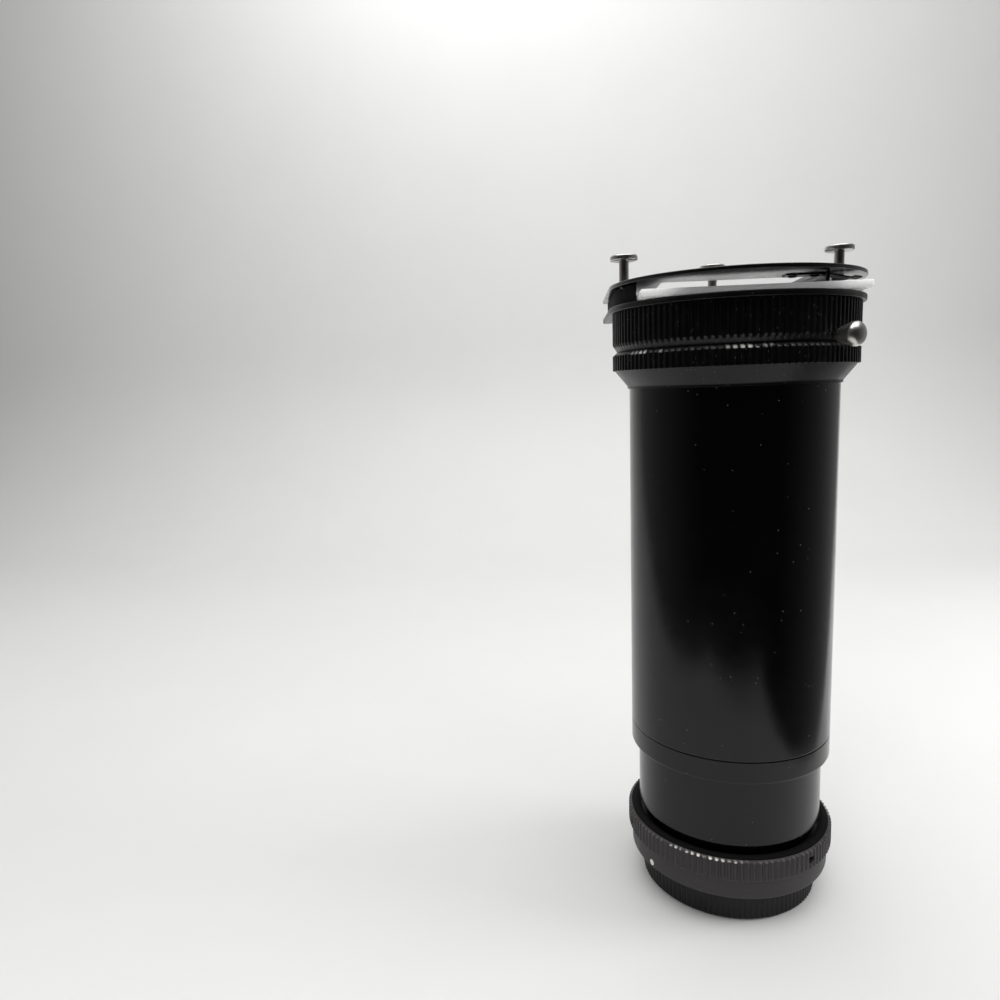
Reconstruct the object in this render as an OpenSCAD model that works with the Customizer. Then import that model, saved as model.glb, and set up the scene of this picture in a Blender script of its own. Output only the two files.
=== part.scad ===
// Slide duplicator: a copying lens in a long tube, with a screw-on camera adapter at the
// rear and a rotating stage at the front that holds a mounted slide between two plates.
// Millimetres, +Z up, origin at the centre of the rear cap's underside.

/* [Main tube] */
// Radial step from the tube out to the spigot that the stage turns on
spigot_step = 1.3; // [1.2:0.05:1.8]
// Wall thickness of the main tube
tube_wall = 1.8; // [1.4:0.1:2.2]
// Bare length of the main tube, from the rear band to the collar
tube_len = 90.7; // [75:0.5:110]
// Radial step where the tube enters the collar
tube_step = 0.8; // [0.5:0.1:0.9]
// Thickness of the collar's roof over the tube's end
collar_roof = 2; // [1:0.1:3]
// Bevel that draws each seam line
seam = 0.15; // [0.05:0.05:0.3]

/* [Rear barrel] */
// Radial step from the band in to the rear barrel
barrel_step = 2; // [1:0.1:2.4]
// Length of the rear barrel below the band
barrel_len = 18; // [12:0.5:24]
// Height of the band that carries on the main tube's diameter
band_h = 5.8; // [4:0.1:8]
// Radial step from the thread out to the neck that stands in the adapter
neck_step = 1.8; // [1.4:0.1:2]
// Height of the neck
neck_h = 3.1; // [2.4:0.1:4]
// Wall between the bottom of the thread and the light path
thread_wall = 1.25; // [1:0.05:2]
// Wall of the barrel's spigot round the lens cell
spigot_wall = 1.95; // [1.5:0.05:2.4]
// Width of the ledge that the lens cell screws down on
ledge_w = 2.9; // [2:0.1:3.4]
// Length of the spigot that enters the main tube
spigot_len = 8; // [7:0.5:12]
// Height of the ledge that the lens cell screws down on
ledge_h = 2.4; // [1.8:0.1:3]
// Bevel on the machined edges
edge = 0.5; // [0.2:0.1:0.7]

/* [Camera thread] */
// Major diameter of the accessory thread on the barrel and of the thread under the adapter
thread_d = 42; // [41.5:0.1:42.5]
// Radial allowance of the male threads
thread_slack = 0.1; // [0.05:0.05:0.15]
// Pitch of the turned threads
thread_pitch = 0.75; // [0.7:0.05:1]
// Depth of the turned threads
thread_depth = 0.35; // [0.2:0.05:0.4]
// Number of turns on the barrel's thread
barrel_turns = 6; // [5:1:6]
// Number of turns on the thread under the adapter
adapter_turns = 6; // [4:1:7]

/* [Camera adapter] */
// Radial wall of the adapter's ring at the ribs
adapter_wall = 3.35; // [3:0.05:4]
// Radial step from the ribs in to the smooth band below them
adapter_band_step = 1.05; // [0.6:0.05:1.4]
// Height of the smooth band
adapter_band_h = 5.2; // [3:0.1:5.6]
// Height of the whole outer ring
adapter_h = 11.2; // [10.8:0.1:12]
// Radial step from the ribs in to the raised lip on the top face
lip_step = 1.95; // [1.6:0.05:2.2]
// Height of the bevel from the ribs up to the lip
lip_h = 0.8; // [0.4:0.1:1]
// Number of ribs around the adapter
adapter_ribs = 111; // [90:1:130]
// Depth of the ribs on the adapter
adapter_rib_depth = 0.35; // [0.2:0.05:0.5]
// Radial step from the neck out to the bore of the threaded insert
insert_step = 1; // [0.6:0.05:1.2]
// Height of the threaded insert
insert_h = 5.5; // [5:0.1:5.8]
// Depth of the barrel's seat below the adapter's lip
seat_depth = 1.7; // [1.2:0.1:2]
// Diameter of the set screws
set_d = 2; // [1.6:0.1:2.2]
// Length of the set screws
set_len = 2.7; // [2:0.1:2.8]
// Depth of the set screws' axis below the insert's top
set_drop = 1.5; // [1.4:0.1:2.2]
// Direction of the first set screw, in degrees
set_angle = 309; // [0:1:359]
// Number of set screws
set_count = 3; // [3:1:4]
// Diameter of the index dot
dot_d = 1.6; // [1:0.1:2]
// Depth of the index dot's seat
dot_depth = 0.4; // [0.3:0.1:0.6]
// Height of the index dot above the smooth band's lower edge
dot_rise = 1.3; // [1.2:0.1:2.4]
// Direction of the index dot, in degrees
dot_angle = 211; // [0:1:359]

/* [Rear cap] */
// Wall of the cap between its thread and the tips of its ribs
cap_wall = 1.95; // [1.5:0.05:3]
// Height of the cap
cap_h = 8.2; // [7.4:0.1:10]
// Thickness of the cap's floor
cap_floor = 1.8; // [1.2:0.1:2.2]
// Number of ribs around the cap
cap_ribs = 102; // [80:1:120]
// Depth of the cap's ribs
cap_rib_depth = 0.3; // [0.15:0.05:0.35]
// Bevel round the cap's lower edge
cap_bevel = 0.8; // [0.4:0.1:1.2]
// Width of the rim that the cap stands on
cap_foot = 4; // [2:0.2:6]
// Height of the hollow inside that rim
cap_hollow = 0.3; // [0.2:0.1:0.5]

/* [Copying lens] */
// Wall of the lens cell's barrel
cell_wall = 2.65; // [1.8:0.05:4]
// Height of the lens cell's rim above the retaining ring
cell_rim = 1.9; // [1:0.1:4]
// Thickness of the lens cell's flange
cell_flange_h = 2.5; // [2:0.1:3.5]
// Diameter of the two lens elements
lens_d = 21; // [19:0.2:22]
// Thickness of a lens element at its edge
lens_edge = 2.2; // [1.5:0.1:2.6]
// Height of a lens element's curved face
lens_crown = 1.3; // [0.8:0.1:1.6]
// Width of the flat margin round the curved face
lens_margin = 1.5; // [1.2:0.1:2]
// Width of the seat under the rear element
lens_seat = 1.2; // [0.8:0.1:1.4]
// Height of the seat under the rear element
lens_seat_h = 3; // [2.5:0.1:3.4]
// Wall of the spacer tubes
spacer_wall = 0.9; // [0.6:0.1:1.2]
// Length of each spacer tube
spacer_len = 6.2; // [4:0.1:6.6]
// Diameter of the fixed aperture
stop_hole_d = 3.4; // [2:0.1:8]
// Thickness of the aperture disc
stop_t = 0.4; // [0.2:0.05:0.6]
// Height of the lens retaining ring
keeper_h = 2.5; // [1.5:0.1:2.8]
// Width of the key slots in the retaining ring
keeper_slot = 1; // [0.6:0.1:1.4]

/* [Light baffle] */
// Height of the baffle above the top of the lens cell
baffle_rise = 24; // [10:1:30]
// Height of the baffle's sleeve
baffle_h = 6; // [4:0.5:8]
// Wall of the baffle's sleeve
baffle_wall = 0.8; // [0.5:0.1:1]
// Width of the baffle's blade
baffle_blade = 6.15; // [4:0.05:8]

/* [Stage collar] */
// Distance from the side pins' axis out to the knurls' tips
knurl_margin = 3.25; // [3:0.05:3.8]
// Number of teeth in each knurl
knurl_teeth = 118; // [90:1:140]
// Depth of the knurl's teeth
knurl_depth = 0.45; // [0.25:0.05:0.5]
// Height of the flare between the tube and the knurl
flare_h = 4.6; // [3:0.1:6]
// Height of the plain lip below the flare
flare_lip = 0.6; // [0.3:0.1:1]
// Radial width of that lip outside the tube
flare_step = 0.5; // [0.3:0.1:0.8]
// Height of the collar's knurl with its bevel
collar_knurl_h = 4.8; // [3.6:0.1:6]
// Depth of the V groove between the two knurls
groove_depth = 1.15; // [0.8:0.05:1.3]
// Height of the collar's side of the V groove
collar_bevel = 1; // [0.6:0.1:1.4]
// Height of the spigot that the stage ring turns on
stage_spigot_h = 7.3; // [6.6:0.1:7.5]
// Width of the groove for the lock screw's tip
track_w = 2.4; // [2.2:0.1:2.6]
// Depth of the groove for the lock screw's tip
track_depth = 0.8; // [0.5:0.1:0.9]

/* [Stage ring] */
// Thickness of the stage ring's flange over the spigot
ring_roof = 2.4; // [2:0.1:4]
// Wall of the stage ring between the spigot and the V groove
ring_wall = 1.85; // [1.4:0.05:2.4]
// Height of the ring's side of the V groove
ring_bevel = 1.8; // [1.2:0.1:2]
// Radial step from the tube's bore in to the stage ring's light path
ring_path_step = 1.9; // [1:0.1:2.4]

/* [Lock screw] */
// Direction of the lock screw, in degrees
lock_angle = 308; // [0:1:359]
// Height of the lock screw above the V groove
lock_rise = 1.25; // [1.2:0.05:1.5]
// Diameter of the lock screw's shank
lock_d = 2; // [1.6:0.1:2]
// Diameter of the lock screw's head
lock_head_d = 6; // [5:0.1:7]
// Diameter of the lock screw's neck
lock_neck_d = 3.2; // [2.6:0.1:4]
// Length of the cone from the neck to the head
lock_cone = 3.4; // [1.5:0.1:4]
// Length of the head's straight rim
lock_rim = 0.6; // [0.4:0.1:1.5]
// Height of the head's dome
lock_dome = 1.9; // [1:0.1:2.5]

/* [Slide stage] */
// Distance that the plates' round front stands out past the knurls
plate_rim = 0.9; // [0.5:0.1:2]
// Radius of the plates' two back corners
plate_corner = 0.6; // [0.4:0.1:3]
// Thickness of the stage plate
stage_plate_t = 1.4; // [1.2:0.1:1.8]
// Thickness of the pressure plate
pressure_plate_t = 0.95; // [0.8:0.05:1.4]
// Gap between the two plates
stage_gap = 4.4; // [4.1:0.1:5]
// Width of the picture windows
window_w = 35.6; // [34:0.2:36.4]
// Depth of the picture windows
window_d = 24; // [22.6:0.2:24.4]
// Distance that the pressure plate's window stands off to the left
view_left = 1.6; // [0:0.1:2]
// Distance that the pressure plate's window stands off to the front
view_front = 1.3; // [0:0.1:2]
// Corner radius of the picture windows
window_r = 0.8; // [0.3:0.1:1.5]
// Side of a square slide mount, and of the opal plate
slide_size = 50.8; // [50:0.1:51]
// Thickness of the opal plate
opal_t = 1.7; // [1.5:0.1:2]
// Corner radius of the opal plate
opal_r = 2; // [1:0.1:3]
// Play of the opal plate in the stage
slide_play = 0.05; // [0.05:0.01:0.1]
// Setback of the slide rail's outer face from the plates' edge
rail_setback = 0.2; // [0.1:0.05:0.6]
// Gap between the slide rail and the opal plate
rail_gap = 0.15; // [0.1:0.05:0.2]
// Gap between the slide rail and the pressure plate
rail_drop = 0.1; // [0.05:0.05:0.2]

/* [Guide pins] */
// Diameter of the guide pins
pin_d = 2.5; // [2:0.1:2.8]
// Diameter of the shoulder that the pressure plate rests on
shoulder_d = 3.2; // [3:0.1:3.4]
// Free length of the pins above the pressure plate
pin_free = 7; // [4:0.1:10]
// Diameter of the pins' heads
pin_head_d = 7; // [6:0.1:8]
// Height of the pins' heads
pin_head_h = 1.4; // [1:0.1:2]
// Angle between the far pin and each side pin, in degrees
pin_spread = 84; // [80:1:88]
// Depth of the pins' tails in the stage ring
pin_tail = 1.3; // [0.8:0.1:1.6]

/* [Small screws] */
// Diameter of the stage plate's screws
plate_screw_d = 2; // [1.6:0.1:2]
// Distance of the stage plate's screws from the knurls' tips
plate_screw_inset = 4.3; // [3.9:0.1:4.6]
// Number of screws in the stage plate
plate_screw_count = 4; // [3:1:4]
// Diameter of the rail's screws
rail_screw_d = 1.6; // [1.2:0.1:1.6]
// Distance between the rail's screws
rail_screw_pitch = 18; // [14:0.5:20]
// Distance of the rail's screws from the rail's flat face
rail_screw_inset = 1.85; // [1.8:0.05:2]
// Length of the screws below the stage plate
screw_reach = 1.3; // [0.8:0.1:1.6]
// Width of the screws' slots
slot_w = 0.45; // [0.3:0.05:0.6]
// Depth of the screws' slots
slot_depth = 0.4; // [0.3:0.05:0.5]

/* [Leaf springs] */
// Width of the leaf springs
spring_w = 4; // [3:0.1:4.4]
// Thickness of the leaf springs
spring_t = 0.3; // [0.2:0.05:0.4]
// Distance of each spring's outer edge from the plate's axis
spring_edge = 19; // [18:0.1:20]
// Length of the springs' flat part, where the rivets hold it
spring_flat = 9; // [7:0.1:10]
// Length of the springs' slope
spring_slope = 5.4; // [4:0.1:6]
// Drop of that slope
spring_drop = 1.15; // [1:0.05:1.3]
// Length of the kink behind the slope
spring_kink = 0.8; // [0.5:0.1:1.5]
// Length of the springs' free end behind the kink
spring_end = 1.6; // [1:0.1:2]
// Rise of the kink
spring_lift = 0.3; // [0.2:0.05:0.6]
// Diameter of the springs' rivets
rivet_d = 1.2; // [1:0.1:1.4]
// Diameter of the rivets' heads
rivet_head_d = 2.2; // [2:0.1:2.4]
// Height of the rivets' heads
rivet_head_h = 0.35; // [0.2:0.05:0.5]
// Distance from the springs' bend to the nearer rivets
rivet_inset = 2.2; // [2.1:0.1:2.5]
// Distance between the two rivets of a spring
rivet_pitch = 5; // [3:0.5:6]

/* [Pressure blade] */
// Thickness of the blade folded down beside the window
blade_t = 0.8; // [0.5:0.1:1.2]
// Length of the blade
blade_len = 42; // [41:0.5:43]
// Gap between the blade and the opal plate
blade_gap = 0.15; // [0.1:0.05:0.5]

/* [Fits] */
// Radial clearance between parts that fit in each other
fit = 0.05; // [0.03:0.01:0.08]

/* [Hidden] */
$fn = 96;
eps = 0.01;
tip_clear = 0.4;
arc_steps = 10;
z_lip = cap_h + adapter_h;
z_seat = z_lip - seat_depth;
z_insert = z_seat - insert_h;
z_set = z_seat - set_drop;
z_barrel = z_seat + neck_h;
z_band = z_barrel + barrel_len;
z_tube = z_band + band_h;
z_ledge = z_tube + ledge_h;
z_rear_lens = z_ledge + lens_seat_h;
z_spacer = z_rear_lens + lens_edge;
z_stop = z_spacer + spacer_len;
z_front_lens = z_stop + stop_t + spacer_len;
z_keeper = z_front_lens + lens_edge;
z_cell_top = z_keeper + keeper_h + cell_rim;
z_baffle = z_cell_top + baffle_rise;
z_flare = z_tube + tube_len;
z_knurl = z_flare + flare_h;
z_groove = z_knurl + collar_knurl_h;
z_spigot_top = z_groove + stage_spigot_h;
z_tail_top = z_spigot_top - collar_roof;
z_lock = z_groove + lock_rise;
z_ring_roof = z_spigot_top + 2 * fit;
z_stage = z_ring_roof + ring_roof;
z_slide = z_stage + stage_plate_t;
z_press = z_slide + stage_gap;
z_press_top = z_press + pressure_plate_t;
z_head = z_press_top + pin_free;
pin_x = (slide_size + shoulder_d) / 2 + slide_play;
pin_r = pin_x / sin(pin_spread);
pin_angles = [90 - pin_spread, 90, 90 + pin_spread];
knurl_r = pin_x + knurl_margin;
groove_r = knurl_r - groove_depth;
spigot_r = groove_r - ring_wall;
tube_r = spigot_r - spigot_step;
bore_r = tube_r - tube_wall;
barrel_r = tube_r - barrel_step;
room_r = bore_r - fit - spigot_wall;
ledge_r = room_r - ledge_w;
male_r = thread_d / 2 - thread_slack;
female_r = male_r + fit;
path_r = male_r - thread_depth - thread_wall;
neck_r = male_r + neck_step;
insert_r = neck_r + insert_step;
rib_r = insert_r + adapter_wall;
band_r = rib_r - adapter_band_step;
lip_r = rib_r - lip_step;
cap_r = female_r + cap_wall;
lens_r = lens_d / 2;
plate_r = knurl_r + plate_rim;
rail_x = -slide_size / 2 - rail_gap;
rail_h = stage_gap - rail_drop;
opal_y = pin_r - shoulder_d / 2 - slide_play - slide_size / 2;
opal_z = z_slide + fit;
blade_x = window_w / 2 - view_left + seam;
blade_z = opal_z + opal_t + blade_gap;
spring_x = blade_x + blade_t + fit;
spring_y = spring_edge - spring_w / 2;

black = [0.05, 0.05, 0.055];
satin = [0.12, 0.12, 0.125];
brown_grey = [0.2, 0.19, 0.19];
plastic = [0.07, 0.07, 0.075];
silver = [0.78, 0.78, 0.76];
steel = [0.6, 0.61, 0.63];
opal = [0.95, 0.95, 0.93];
glass = [0.75, 0.85, 0.88, 0.4];

// A turned body from half of its section
module turned(points) {
  rotate_extrude() polygon(points);
}

// A prism with straight V teeth round it
module toothed(d, teeth, depth, z0, z1) {
  translate([0, 0, z0])
    linear_extrude(z1 - z0)
      polygon([for (i = [0:2 * teeth - 1])
        let (r = d / 2 - (i % 2) * depth, a = 180 * i / teeth) [r * cos(a), r * sin(a)]]);
}

// The section of a male thread, turned as rings, from z0 upwards
function thread_section(z0, turns) = [for (i = [0:turns - 1]) each [
  [male_r - thread_depth, z0 + i * thread_pitch],
  [male_r, z0 + (i + 0.5) * thread_pitch]]];

// A flat rectangle with round corners
module round_rect(w, d, r) {
  union() {
    square([w - 2 * r, d], center = true);
    square([w, d - 2 * r], center = true);
    for (x = [-1, 1], y = [-1, 1])
      translate([x * (w / 2 - r), y * (d / 2 - r)])
        circle(r);
  }
}

// A pin along +X from x0 to x1 at height z and direction a
module radial(a, z, x0, x1, r) {
  rotate([0, 0, a])
    translate([x0, 0, z])
      rotate([0, 90, 0])
        cylinder(h = x1 - x0, r = r);
}

// A countersunk screw with its head flush at z_top
module flat_screw(d, z_top, z_end) {
  difference() {
    turned([[0, z_end], [d / 2, z_end], [d / 2, z_top - d / 2],
      [d - fit, z_top - fit], [d - fit, z_top], [0, z_top]]);
    translate([-d, -slot_w / 2, z_top - slot_depth])
      cube([2 * d, slot_w, slot_depth + eps]);
  }
}

// The hole for such a screw
module flat_screw_hole(d, z_top, z_end) {
  turned([[0, z_end - eps], [d / 2 + fit, z_end - eps], [d / 2 + fit, z_top - d / 2],
    [d, z_top], [d, z_top + eps], [0, z_top + eps]]);
}

// The picture window, cut from z0 to z1
module window(z0, z1) {
  translate([0, 0, z0])
    linear_extrude(z1 - z0)
      round_rect(window_w, window_d, window_r);
}

// The plates' outline, inset by m: round in front and square at the back
module plate_outline(m) {
  r = plate_r - m;
  c = plate_corner;
  union() {
    circle(r);
    translate([-r, 0])
      square([2 * r, r - c]);
    translate([c - r, 0])
      square([2 * (r - c), r]);
    for (s = [-1, 1])
      translate([s * (r - c), r - c])
        circle(c);
  }
}

module at_pins() {
  for (a = pin_angles)
    rotate([0, 0, a])
      translate([pin_r, 0, 0])
        children();
}

module at_plate_screws() {
  for (i = [0:plate_screw_count - 1])
    rotate([0, 0, 45 + 360 * i / plate_screw_count])
      translate([knurl_r - plate_screw_inset, 0, 0])
        children();
}

module at_rail_screws() {
  for (s = [-1, 1])
    translate([rail_x - rail_screw_inset, s * rail_screw_pitch / 2, 0])
      children();
}

module at_rivets() {
  for (i = [0, 1], s = [-1, 1])
    translate([spring_x - rivet_inset - i * rivet_pitch, s * spring_y, 0])
      children();
}

module rear_cap() {
  r = cap_r;
  color(plastic) difference() {
    intersection() {
      turned([[0, 0], [r - cap_bevel, 0], [r + tip_clear, cap_bevel + tip_clear],
        [r + tip_clear, cap_h - edge - tip_clear], [r - edge, cap_h], [0, cap_h]]);
      toothed(2 * r, cap_ribs, cap_rib_depth, 0, cap_h);
    }
    translate([0, 0, cap_floor])
      cylinder(h = cap_h, r = female_r);
    translate([0, 0, -eps])
      cylinder(h = cap_hollow + eps, r = r - cap_foot);
  }
}

module adapter_ring() {
  band_top = cap_h + adapter_band_h;
  thread_z = cap_h - adapter_turns * thread_pitch;
  color(brown_grey) difference() {
    union() {
      turned(concat([[0, thread_z]], thread_section(thread_z, adapter_turns),
        [[male_r - thread_depth, cap_h], [band_r - edge, cap_h], [band_r, cap_h + edge],
        [band_r, band_top + eps], [0, band_top + eps]]));
      intersection() {
        turned([[0, band_top], [rib_r - edge, band_top],
          [rib_r + tip_clear, band_top + edge + tip_clear],
          [rib_r + tip_clear, z_lip - lip_h * (1 + tip_clear / lip_step)],
          [lip_r, z_lip], [0, z_lip]]);
        toothed(2 * rib_r, adapter_ribs, adapter_rib_depth, band_top, z_lip);
      }
    }
    translate([0, 0, thread_z - eps])
      cylinder(h = z_lip, r = path_r);
    turned([[0, z_insert], [insert_r, z_insert], [insert_r, z_lip - edge],
      [lip_r - edge, z_lip + eps], [0, z_lip + eps]]);
    for (i = [0:set_count - 1])
      radial(set_angle + 360 * i / set_count, z_set, insert_r - edge, rib_r + 1, set_d / 2 + fit);
    radial(dot_angle, cap_h + dot_rise, band_r - dot_depth, band_r + 1, dot_d / 2 + fit);
  }
}

module adapter_insert() {
  r = insert_r - fit;
  v = set_d / 2;
  color(satin) turned([[female_r, z_insert], [r, z_insert], [r, z_set - v], [r - v / 2, z_set],
    [r, z_set + v], [r, z_seat], [female_r, z_seat]]);
}

module adapter_set_screws() {
  color(steel) for (i = [0:set_count - 1])
    rotate([0, 0, set_angle + 360 * i / set_count])
      difference() {
        translate([insert_r, 0, z_set])
          rotate([0, 90, 0])
            cylinder(h = set_len, d = set_d);
        translate([insert_r + set_len - slot_depth, -set_d, z_set - slot_w / 2])
          cube([slot_depth + eps, 2 * set_d, slot_w]);
      }
}

module index_dot() {
  color([1, 1, 1])
    radial(dot_angle, cap_h + dot_rise, band_r - dot_depth, band_r + fit, dot_d / 2);
}

module rear_barrel() {
  thread_z = z_seat - barrel_turns * thread_pitch;
  color(black) difference() {
    turned(concat([[0, thread_z]], thread_section(thread_z, barrel_turns),
      [[male_r - thread_depth, z_seat], [neck_r, z_seat], [neck_r, z_barrel],
      [barrel_r - edge, z_barrel], [barrel_r, z_barrel + edge], [barrel_r, z_band],
      [tube_r - edge, z_band], [tube_r, z_band + edge], [tube_r, z_tube - seam],
      [tube_r - seam, z_tube], [bore_r - fit, z_tube], [bore_r - fit, z_tube + spigot_len],
      [0, z_tube + spigot_len]]));
    turned([[0, thread_z - eps], [path_r, thread_z - eps], [path_r, z_barrel + neck_h],
      [room_r, z_barrel + 2 * neck_h], [room_r, z_tube], [ledge_r, z_tube],
      [ledge_r, z_ledge], [room_r, z_ledge], [room_r, z_tube + spigot_len + eps],
      [0, z_tube + spigot_len + eps]]);
  }
}

module main_tube() {
  tail_r = tube_r - tube_step;
  color(black) turned([[bore_r, z_tube], [tube_r - seam, z_tube], [tube_r, z_tube + seam],
    [tube_r, z_flare], [tail_r, z_flare], [tail_r, z_tail_top], [bore_r, z_tail_top]]);
}

module lens_cell() {
  hole_r = lens_r + fit;
  r = hole_r + cell_wall;
  flange_r = room_r - fit;
  color(black) turned([[lens_r - lens_seat, z_ledge], [flange_r, z_ledge],
    [flange_r, z_ledge + cell_flange_h], [r, z_ledge + cell_flange_h], [r, z_cell_top - edge],
    [r - edge, z_cell_top], [hole_r, z_cell_top], [hole_r, z_rear_lens],
    [lens_r - lens_seat, z_rear_lens]]);
}

// One lens element, flat at z = 0 and curved on top
module lens_element() {
  a = lens_r - lens_margin;
  c = (a * a + lens_crown * lens_crown) / (2 * lens_crown);
  half = asin(a / c);
  color(glass) turned(concat([[0, 0], [lens_r, 0], [lens_r, lens_edge]],
    [for (i = [arc_steps:-1:0]) let (t = half * i / arc_steps)
      [c * sin(t), lens_edge + lens_crown - c * (1 - cos(t))]]));
}

module rear_lens() {
  translate([0, 0, z_spacer])
    rotate([180, 0, 0])
      lens_element();
}

module front_lens() {
  translate([0, 0, z_front_lens])
    lens_element();
}

module lens_spacers() {
  r = lens_r;
  color(black) for (z = [z_spacer, z_stop + stop_t])
    turned([[r - spacer_wall, z], [r, z], [r, z + spacer_len], [r - spacer_wall, z + spacer_len]]);
}

module aperture_stop() {
  h = stop_hole_d / 2;
  color(black) turned([[h, z_stop + stop_t / 2], [h + stop_t / 2, z_stop], [lens_r, z_stop],
    [lens_r, z_stop + stop_t], [h + stop_t / 2, z_stop + stop_t]]);
}

module lens_retaining_ring() {
  r = lens_r;
  color(black) difference() {
    turned([[r - lens_seat, z_keeper], [r, z_keeper], [r, z_keeper + keeper_h],
      [r - lens_seat, z_keeper + keeper_h]]);
    translate([-r - 1, -keeper_slot / 2, z_keeper + keeper_h / 2])
      cube([lens_d + 2, keeper_slot, keeper_h]);
  }
}

module light_baffle() {
  r = bore_r - fit;
  mid = z_baffle + baffle_h / 2;
  color(satin) turned([[r, z_baffle], [r, z_baffle + baffle_h], [r - baffle_wall, z_baffle + baffle_h],
    [r - baffle_wall, mid + baffle_wall], [r - baffle_blade, mid], [r - baffle_wall, mid - baffle_wall],
    [r - baffle_wall, z_baffle]]);
}

module stage_collar() {
  r = knurl_r;
  sleeve_r = tube_r - tube_step + fit;
  flare_r = tube_r + flare_step;
  track_z = z_lock - track_w / 2;
  color(black) union() {
    turned([[sleeve_r, z_flare], [flare_r - seam, z_flare], [flare_r, z_flare + seam],
      [flare_r, z_flare + flare_lip], [r - knurl_depth - seam, z_knurl], [sleeve_r, z_knurl]]);
    difference() {
      intersection() {
        turned([[0, z_knurl - eps], [r + tip_clear, z_knurl - eps],
          [r + tip_clear, z_groove - collar_bevel * (1 + tip_clear / groove_depth)],
          [groove_r, z_groove], [0, z_groove]]);
        toothed(2 * r, knurl_teeth, knurl_depth, z_knurl - eps, z_groove);
      }
      translate([0, 0, z_knurl - 1])
        cylinder(h = z_groove, r = sleeve_r);
    }
    turned([[sleeve_r, z_groove - eps], [spigot_r - track_depth, z_groove - eps],
      [spigot_r - track_depth, track_z + track_w], [spigot_r, track_z + track_w],
      [spigot_r, z_spigot_top], [bore_r, z_spigot_top], [bore_r, z_tail_top + fit],
      [sleeve_r, z_tail_top + fit]]);
  }
}

module stage_ring() {
  r = knurl_r;
  z0 = z_groove + fit;
  color(black) difference() {
    intersection() {
      turned([[0, z0], [groove_r, z0],
        [r + tip_clear, z0 + ring_bevel * (1 + tip_clear / groove_depth)],
        [r + tip_clear, z_stage], [0, z_stage]]);
      toothed(2 * r, knurl_teeth, knurl_depth, z0, z_stage);
    }
    translate([0, 0, z0 - eps])
      cylinder(h = z_ring_roof - z0 + eps, r = spigot_r + fit);
    translate([0, 0, z0])
      cylinder(h = z_stage, r = bore_r - ring_path_step);
    radial(lock_angle, z_lock, spigot_r - 1, r + 1, lock_d / 2 + fit);
    at_pins()
      translate([0, 0, z_stage - pin_tail - eps])
        cylinder(h = pin_tail + 1, r = pin_d / 2 + fit);
    at_plate_screws()
      translate([0, 0, z_stage - screw_reach - eps])
        cylinder(h = screw_reach + 1, r = plate_screw_d / 2 + fit);
    at_rail_screws()
      translate([0, 0, z_stage - screw_reach - eps])
        cylinder(h = screw_reach + 1, r = rail_screw_d / 2 + fit);
  }
}

module lock_screw() {
  tip = spigot_r - track_depth + fit;
  base = knurl_r + fit;
  head = base + lock_cone;
  crown = head + lock_rim;
  dome_r = lock_head_d / 2;
  color(silver)
    rotate([0, 0, lock_angle])
      translate([0, 0, z_lock])
        rotate([0, 90, 0])
          turned(concat([[0, tip], [lock_d / 2, tip], [lock_d / 2, base], [lock_neck_d / 2, base],
            [dome_r, head], [dome_r, crown]],
            [for (i = [1:arc_steps]) let (t = 90 * i / arc_steps)
              [dome_r * cos(t), crown + lock_dome * sin(t)]]));
}

module stage_plate() {
  color(black) difference() {
    translate([0, 0, z_stage])
      linear_extrude(stage_plate_t)
        plate_outline(0);
    window(z_stage - 1, z_slide + 1);
    at_pins()
      translate([0, 0, z_stage - 1])
        cylinder(h = stage_plate_t + 2, r = pin_d / 2 + fit);
    at_plate_screws()
      flat_screw_hole(plate_screw_d, z_slide, z_stage);
    at_rail_screws()
      translate([0, 0, z_stage - 1])
        cylinder(h = stage_plate_t + 2, r = rail_screw_d / 2 + fit);
  }
}

module stage_plate_screws() {
  color(steel) at_plate_screws()
    flat_screw(plate_screw_d, z_slide, z_stage - screw_reach);
}

module slide_rail() {
  color(black) difference() {
    translate([0, 0, z_slide])
      linear_extrude(rail_h)
        intersection() {
          plate_outline(rail_setback);
          translate([rail_x - 2 * plate_r, -2 * plate_r])
            square([2 * plate_r, 4 * plate_r]);
        }
    at_pins()
      translate([0, 0, z_slide - 1])
        cylinder(h = rail_h + 2, r = shoulder_d / 2 + fit);
    at_rail_screws()
      flat_screw_hole(rail_screw_d, z_slide + rail_h, z_slide);
  }
}

module rail_screws() {
  color(steel) at_rail_screws()
    flat_screw(rail_screw_d, z_slide + rail_h, z_stage - screw_reach);
}

module guide_pins() {
  head_r = pin_head_d / 2;
  shank = pin_d / 2;
  color(silver) at_pins()
    turned([[0, z_stage - pin_tail], [shank, z_stage - pin_tail], [shank, z_slide],
      [shoulder_d / 2, z_slide], [shoulder_d / 2, z_press], [shank, z_press], [shank, z_head],
      [head_r - edge / 2, z_head], [head_r, z_head + edge / 2],
      [head_r, z_head + pin_head_h - edge], [head_r - edge, z_head + pin_head_h],
      [0, z_head + pin_head_h]]);
}

module pressure_plate() {
  color(black) difference() {
    union() {
      translate([0, 0, z_press])
        linear_extrude(pressure_plate_t)
          plate_outline(0);
      translate([blade_x, -blade_len / 2, blade_z])
        cube([blade_t, blade_len, z_press - blade_z + eps]);
    }
    translate([-view_left, -view_front, 0])
      window(z_press - 1, z_press_top + 1);
    at_pins()
      translate([0, 0, z_press - 1])
        cylinder(h = pressure_plate_t + 2, r = pin_d / 2 + fit);
    at_rivets()
      translate([0, 0, z_press - 1])
        cylinder(h = pressure_plate_t + 2, r = rivet_d / 2 + fit);
    for (s = [-1, 1])
      translate([blade_x - 1, s * spring_y - spring_w / 2 - fit, z_press - spring_t - fit])
        cube([blade_t + 2, spring_w + 2 * fit, spring_t + fit]);
  }
}

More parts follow.
